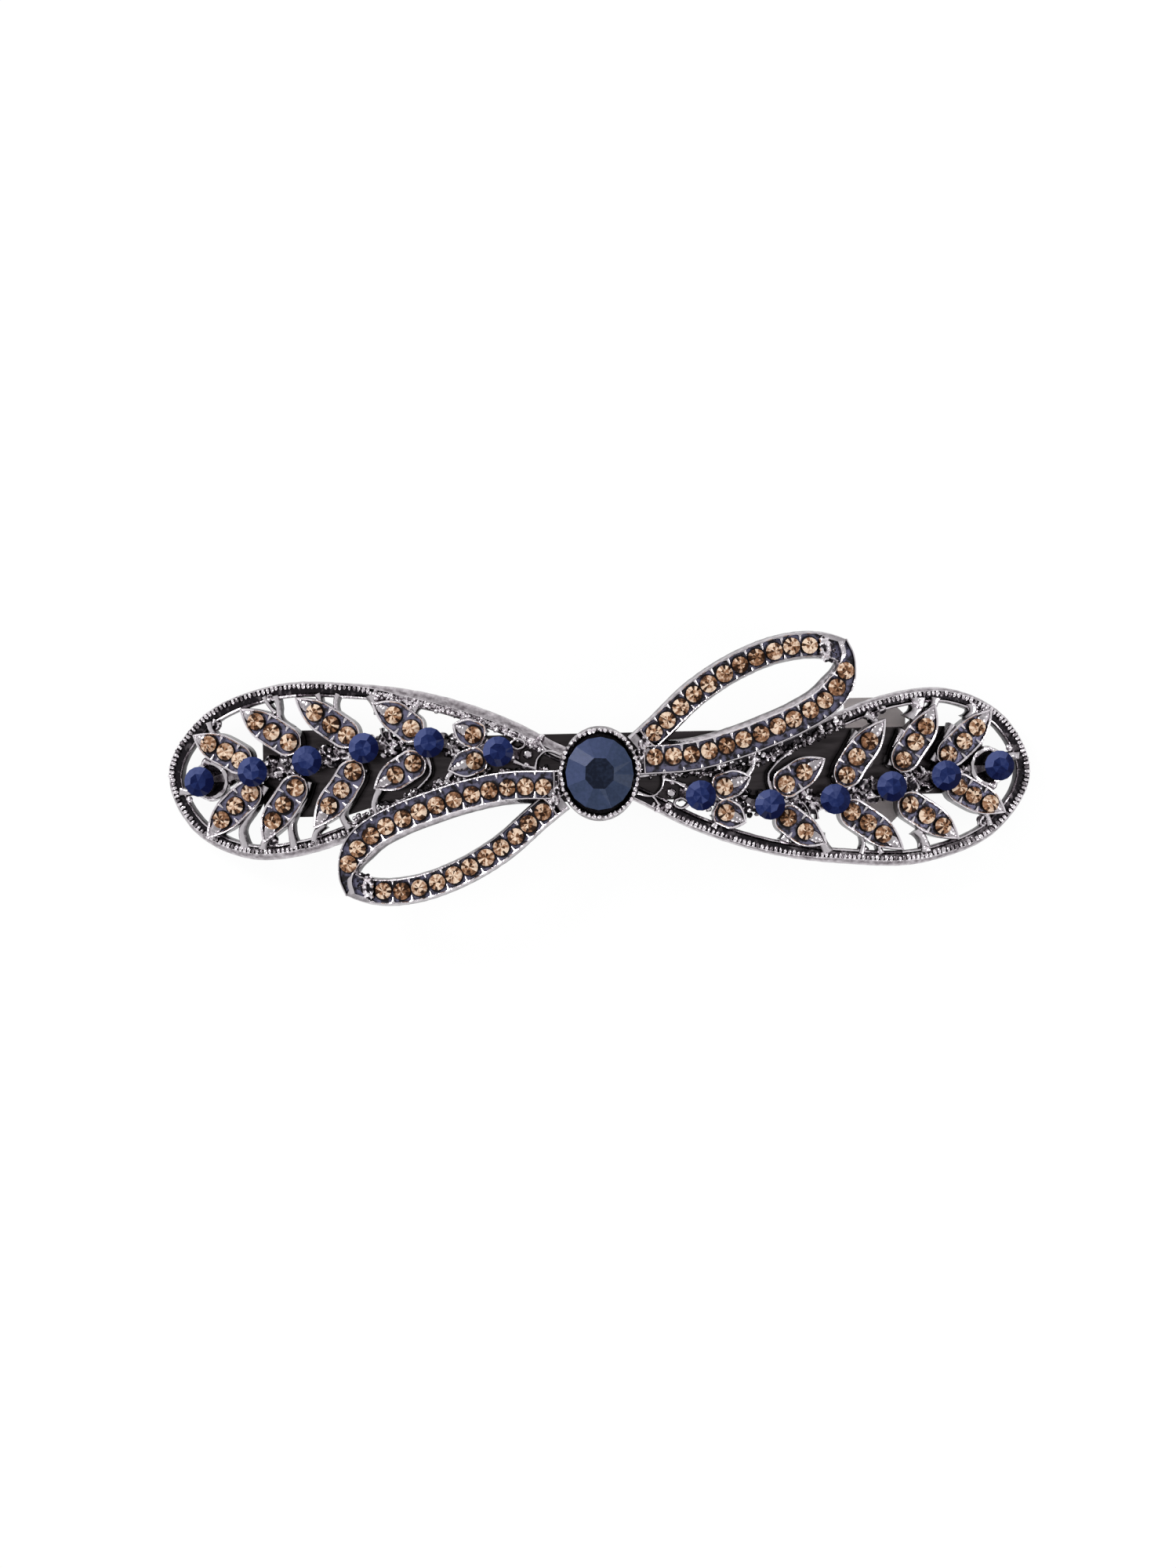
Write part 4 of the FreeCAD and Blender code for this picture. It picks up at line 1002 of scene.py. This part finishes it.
def build_wing_stones(context, prefix):
    """The six navy stones and the ten groups of champagne stones of one wing."""
    turn, sizes, rng = start_on(context, prefix, 31)
    towards = math.radians(130) + (0.0 if turn > 0 else math.pi)
    for number, spot in enumerate(NAVY_SPOTS, start=1):
        middle = Vector((*spot, 0.0))
        tones = lit_tones(rng.uniform(0.38, 0.56), 0.04, 1.0, towards, 0.2)
        stone_piece(context, f"{prefix}_navy_crystal_{number}",
                    [f"{prefix}_navy_stone_{number}"],
                    foiled_glass(context, "navy"), turn, CUP_LIFT,
                    [lambda bm: draw_chaton(bm, middle, CUP_LIFT, sizes.navy_stone,
                                            *NAVY_CUT, tones, rng)])
    for row, leaves in LEAVES.items():
        for number, leaf in enumerate(leaves, start=1):
            stones = [small_stone(spot, LEAF_LIFT, sizes.leaf_stone, rng)
                      for spot in leaf[1:]]
            stone_piece(context, f"{prefix}_{row}_leaf_crystals_{number}",
                        [f"{prefix}_{row}_leaf_stones_{number}"],
                        foiled_glass(context, "champagne"), turn, LEAF_LIFT, stones)


def build_loop_stones(context, prefix):
    """The two strands of champagne stones of one loop."""
    turn, sizes, rng = start_on(context, prefix, 41)
    for strand in STRANDS:
        stones = [small_stone(spot, LOOP_LIFT - 0.1, sizes.loop_stone, rng)
                  for spot in stone_spots(strand)]
        stone_piece(context, f"{prefix}_loop_{strand}_crystals",
                    [f"{prefix}_loop_{strand}_stones"],
                    foiled_glass(context, "champagne"), turn, LOOP_LIFT, stones, LOOP_TILT)


# ---------------------------------------------------------------- centre


def oval_line(half_along, half_across, count):
    """Points round an oval about the bow's middle."""
    return [Vector((half_along * math.cos(math.tau * i / count),
                    half_across * math.sin(math.tau * i / count), 0.0))
            for i in range(count)]


def onto_centre(bm):
    """Takes a drawing about the bow's middle to its place, in metres; it isn't bent."""
    place = Matrix.Translation((0.0, BOW_SHIFT, 0.0)) @ Matrix.Rotation(BOW_TURN, 4, "Z")
    bmesh.ops.transform(bm, matrix=Matrix.Scale(MM, 4) @ place, verts=bm.verts)


def build_bezel(context):
    """The centre stone's bezel: an oval wall with a row of beads round its top."""
    sizes = sizes_in_mm(context)
    low, high = (corner.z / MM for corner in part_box("centre_bezel"))
    along, across = 4.4, 5.2
    bm = new_mesh()
    rng = random.Random(51)
    outline = oval_line(along, across, 96)

    def section(i, side):
        crest = 0.2 + 0.28 * abs(outline[i].y / across) ** 2
        return [(0.12, low, BLACK), (0.02, low + 0.5, 0.5), (0.0, high - 1.1, WORN),
                (crest - 0.14, high - 0.35, WORN), (crest + 0.16, high - 0.4, 0.55),
                (crest + 0.24, high - 0.6, BLACK), (0.8, high - 1.6, BLACK),
                (0.8, low + 0.9, BLACK), (2.6, low + 0.9, BLACK), (2.6, low, BLACK)]

    strip(bm, outline, section, closed=True)
    beads = evenly([*oval_line(along - 0.22, across - 0.46, 240),
                    Vector((along - 0.22, 0, 0))], 48)[:-1]
    for spot in beads:
        at = spot + Vector((rng.uniform(-0.04, 0.04), rng.uniform(-0.04, 0.04),
                            high - sizes.bezel_bead))
        verts = bead(bm, at, sizes.bezel_bead * rng.uniform(0.8, 1.05))
        roughen(verts, 0.12, 0.25, rng.random())
    onto_centre(bm)
    finish_piece(bm, "centre_setting", blackened_casting(context),
                 ["centre_bezel"])


def build_centre_stone(context):
    """The large oval stone: eight-sided table, crown and pavilion."""
    low, high = (corner.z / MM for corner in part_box("centre_stone"))
    along, across, crown = 3.72, 4.0, 0.9
    bm = new_mesh()
    rng = random.Random(61)
    lift = high - crown
    draw_chaton(bm, Vector((0, 0, 0)), lift, along, crown, lift - low,
                lit_tones(0.08, 0.42, 0.4, math.radians(140), 0.06), rng, table=0.45)
    bmesh.ops.scale(bm, vec=(1.0, across / along, 1.0), verts=bm.verts)
    onto_centre(bm)
    finish_piece(bm, "centre_crystal", foiled_glass(context, "centre"),
                 ["centre_stone"], smooth=0)


# ---------------------------------------------------------------- steel clip


def finish_clip(context):
    """Gives the clip's own steel parts their plating."""
    colours = context.scene.bow_clip_colours
    # each steel finish darkens in bands along its length that paint reflections
    dark = plated_steel("dark_nickel_strip", colours.clip, 0.2, 1.6, 0.5, 1.0)
    # the jaws' near-white colour and low metallic paint a lamp's reflection on the nickel
    pale = plated_steel("nickel_jaws_painted_reflection", colours.tab, 0.5, 1.2, 0.85, 0.15)
    wire = plated_steel("nickel_pin_wire", linear("8C878A"), 0.22, 2.0, 0.4, 1.0)
    for names, material in (
            (("base_plate", "locking_arm", "tension_bar", "catch_bridge"), dark),
            (("catch_jaw_front", "catch_jaw_back"), pale),
            (("hinge_pin", "catch_rivets"), wire),
            (("solder_joints",), soft_solder())):
        for name in names:
            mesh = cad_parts[name].data
            mesh.materials.clear()
            mesh.materials.append(material)


# ---------------------------------------------------------------- stage

CAMERA_REACH = 0.483
CAMERA_AIM = (-0.001286, -0.001830, 0.0045)
# each lamp: its place, its size in metres and its power in watts
LAMPS = {
    "key": ((-0.4, 0.4, 0.5), 0.22, 1.9),
    "fill": ((0.45, -0.1, 0.4), 0.2, 0.5),
    "low": ((-0.1, -0.5, 0.35), 0.2, 0.45),
}


def build_stage(context):
    """A pale floor, a soft studio and a camera straight above."""
    scene = context.scene
    scene.view_settings.view_transform = "Standard"
    bm = bmesh.new()
    bmesh.ops.create_grid(bm, x_segments=1, y_segments=1, size=3.0)
    mesh = bpy.data.meshes.new("floor")
    bm.to_mesh(mesh)
    bm.free()
    floor = bpy.data.objects.new("floor", mesh)
    scene.collection.objects.link(floor)
    mesh.materials.append(white_floor())

    world = bpy.data.worlds.new("studio")
    scene.world = world
    world.use_nodes = True
    tree = world.node_tree
    place = add_node(tree, "ShaderNodeTexCoord")
    split = add_node(tree, "ShaderNodeSeparateXYZ", {"Vector": place.outputs["Generated"]})
    shade = ramp(tree, split.outputs["Z"], [(0.25, [1.0] * 3), (1.0, [0.56] * 3),
                                            (0.6, [0.66] * 3)])
    feed(tree, tree.nodes["Background"], {"Color": shade})

    for name, (spot, size, power) in LAMPS.items():
        lamp = bpy.data.lights.new(name, "AREA")
        lamp.shape = "SQUARE"
        lamp.size = size
        lamp.energy = power
        holder = bpy.data.objects.new(name, lamp)
        holder.location = spot
        holder.rotation_euler = (-Vector(spot)).to_track_quat("-Z", "Y").to_euler()
        scene.collection.objects.link(holder)

    camera = bpy.data.cameras.new("camera")
    camera.lens = 100.0
    camera.sensor_width = 36.0
    camera.clip_start = 0.01
    holder = bpy.data.objects.new("camera", camera)
    holder.location = Vector(CAMERA_AIM) + Vector((0.0, 0.0, CAMERA_REACH))
    holder.rotation_euler = (0.0, 0.0, BOW_TURN)
    scene.collection.objects.link(holder)
    scene.camera = holder


def white_floor():
    """Matt white paper, which the camera and reflections see as an even white ground."""
    made, tree, shader, _ = new_material("white_paper")
    if tree is None:
        return made
    feed(tree, shader, {"Base Color": (0.8, 0.8, 0.8, 1.0), "Roughness": 0.9})
    ray = add_node(tree, "ShaderNodeLightPath")
    seen = ray.outputs["Is Camera Ray"]
    for kind in ("Is Glossy Ray", "Is Transmission Ray"):
        seen = maths(tree, "MAXIMUM", seen, ray.outputs[kind])
    glow = add_node(tree, "ShaderNodeEmission", {"Strength": 1.04})
    mixed = add_node(tree, "ShaderNodeMixShader",
                     {0: maths(tree, "MULTIPLY", seen, 0.9), 1: shader.outputs["BSDF"],
                      2: glow.outputs["Emission"]})
    feed(tree, tree.nodes["Material Output"], {"Surface": mixed.outputs["Shader"]})
    return made


# ---------------------------------------------------------------- operators


class BOWCLIP_OT_wings(bpy.types.Operator):
    """Build the cast openwork wings"""

    bl_idname = "bowclip.wings"
    bl_label = "Wings"

    def execute(self, context):
        for prefix in ("left", "right"):
            build_wing(context, prefix)
        return {"FINISHED"}


class BOWCLIP_OT_loops(bpy.types.Operator):
    """Build the cast ribbon loops"""

    bl_idname = "bowclip.loops"
    bl_label = "Ribbon loops"

    def execute(self, context):
        for prefix in ("lower", "upper"):
            build_loop(context, prefix)
        return {"FINISHED"}


class BOWCLIP_OT_bezel(bpy.types.Operator):
    """Build the beaded bezel in the middle"""

    bl_idname = "bowclip.bezel"
    bl_label = "Bezel"

    def execute(self, context):
        build_bezel(context)
        return {"FINISHED"}


class BOWCLIP_OT_stones(bpy.types.Operator):
    """Build the champagne, navy and centre stones"""

    bl_idname = "bowclip.stones"
    bl_label = "Stones"

    def execute(self, context):
        for prefix in ("left", "right"):
            build_wing_stones(context, prefix)
        for prefix in ("lower", "upper"):
            build_loop_stones(context, prefix)
        build_centre_stone(context)
        return {"FINISHED"}


class BOWCLIP_OT_clip(bpy.types.Operator):
    """Give the clip's steel parts their finishes"""

    bl_idname = "bowclip.clip"
    bl_label = "Steel clip"

    def execute(self, context):
        finish_clip(context)
        return {"FINISHED"}


class BOWCLIP_OT_stage(bpy.types.Operator):
    """Set out the floor, the lamps and the camera"""

    bl_idname = "bowclip.stage"
    bl_label = "Stage"

    def execute(self, context):
        build_stage(context)
        return {"FINISHED"}


STEPS = (BOWCLIP_OT_wings, BOWCLIP_OT_loops, BOWCLIP_OT_bezel, BOWCLIP_OT_stones,
         BOWCLIP_OT_clip, BOWCLIP_OT_stage)


class BOWCLIP_PT_panel(bpy.types.Panel):
    """The bow clip's pieces, sizes and colours"""

    bl_label = "Bow Clip"
    bl_space_type = "VIEW_3D"
    bl_region_type = "UI"
    bl_category = "Bow Clip"

    def draw(self, context):
        for step in STEPS:
            self.layout.operator(step.bl_idname)
        for group in (context.scene.bow_clip_sizes, context.scene.bow_clip_colours):
            for name in group.__annotations__:
                self.layout.prop(group, name)


CLASSES = (BowClipSizes, BowClipColours, *STEPS, BOWCLIP_PT_panel)


def register():
    for made in CLASSES:
        bpy.utils.register_class(made)
    bpy.types.Scene.bow_clip_sizes = bpy.props.PointerProperty(type=BowClipSizes)
    bpy.types.Scene.bow_clip_colours = bpy.props.PointerProperty(type=BowClipColours)


def unregister():
    del bpy.types.Scene.bow_clip_colours
    del bpy.types.Scene.bow_clip_sizes
    for made in reversed(CLASSES):
        bpy.utils.unregister_class(made)


def main():
    register()
    bpy.ops.bowclip.wings()
    bpy.ops.bowclip.loops()
    bpy.ops.bowclip.bezel()
    bpy.ops.bowclip.stones()
    bpy.ops.bowclip.clip()
    bpy.ops.bowclip.stage()


if __name__ == "__main__":
    main()
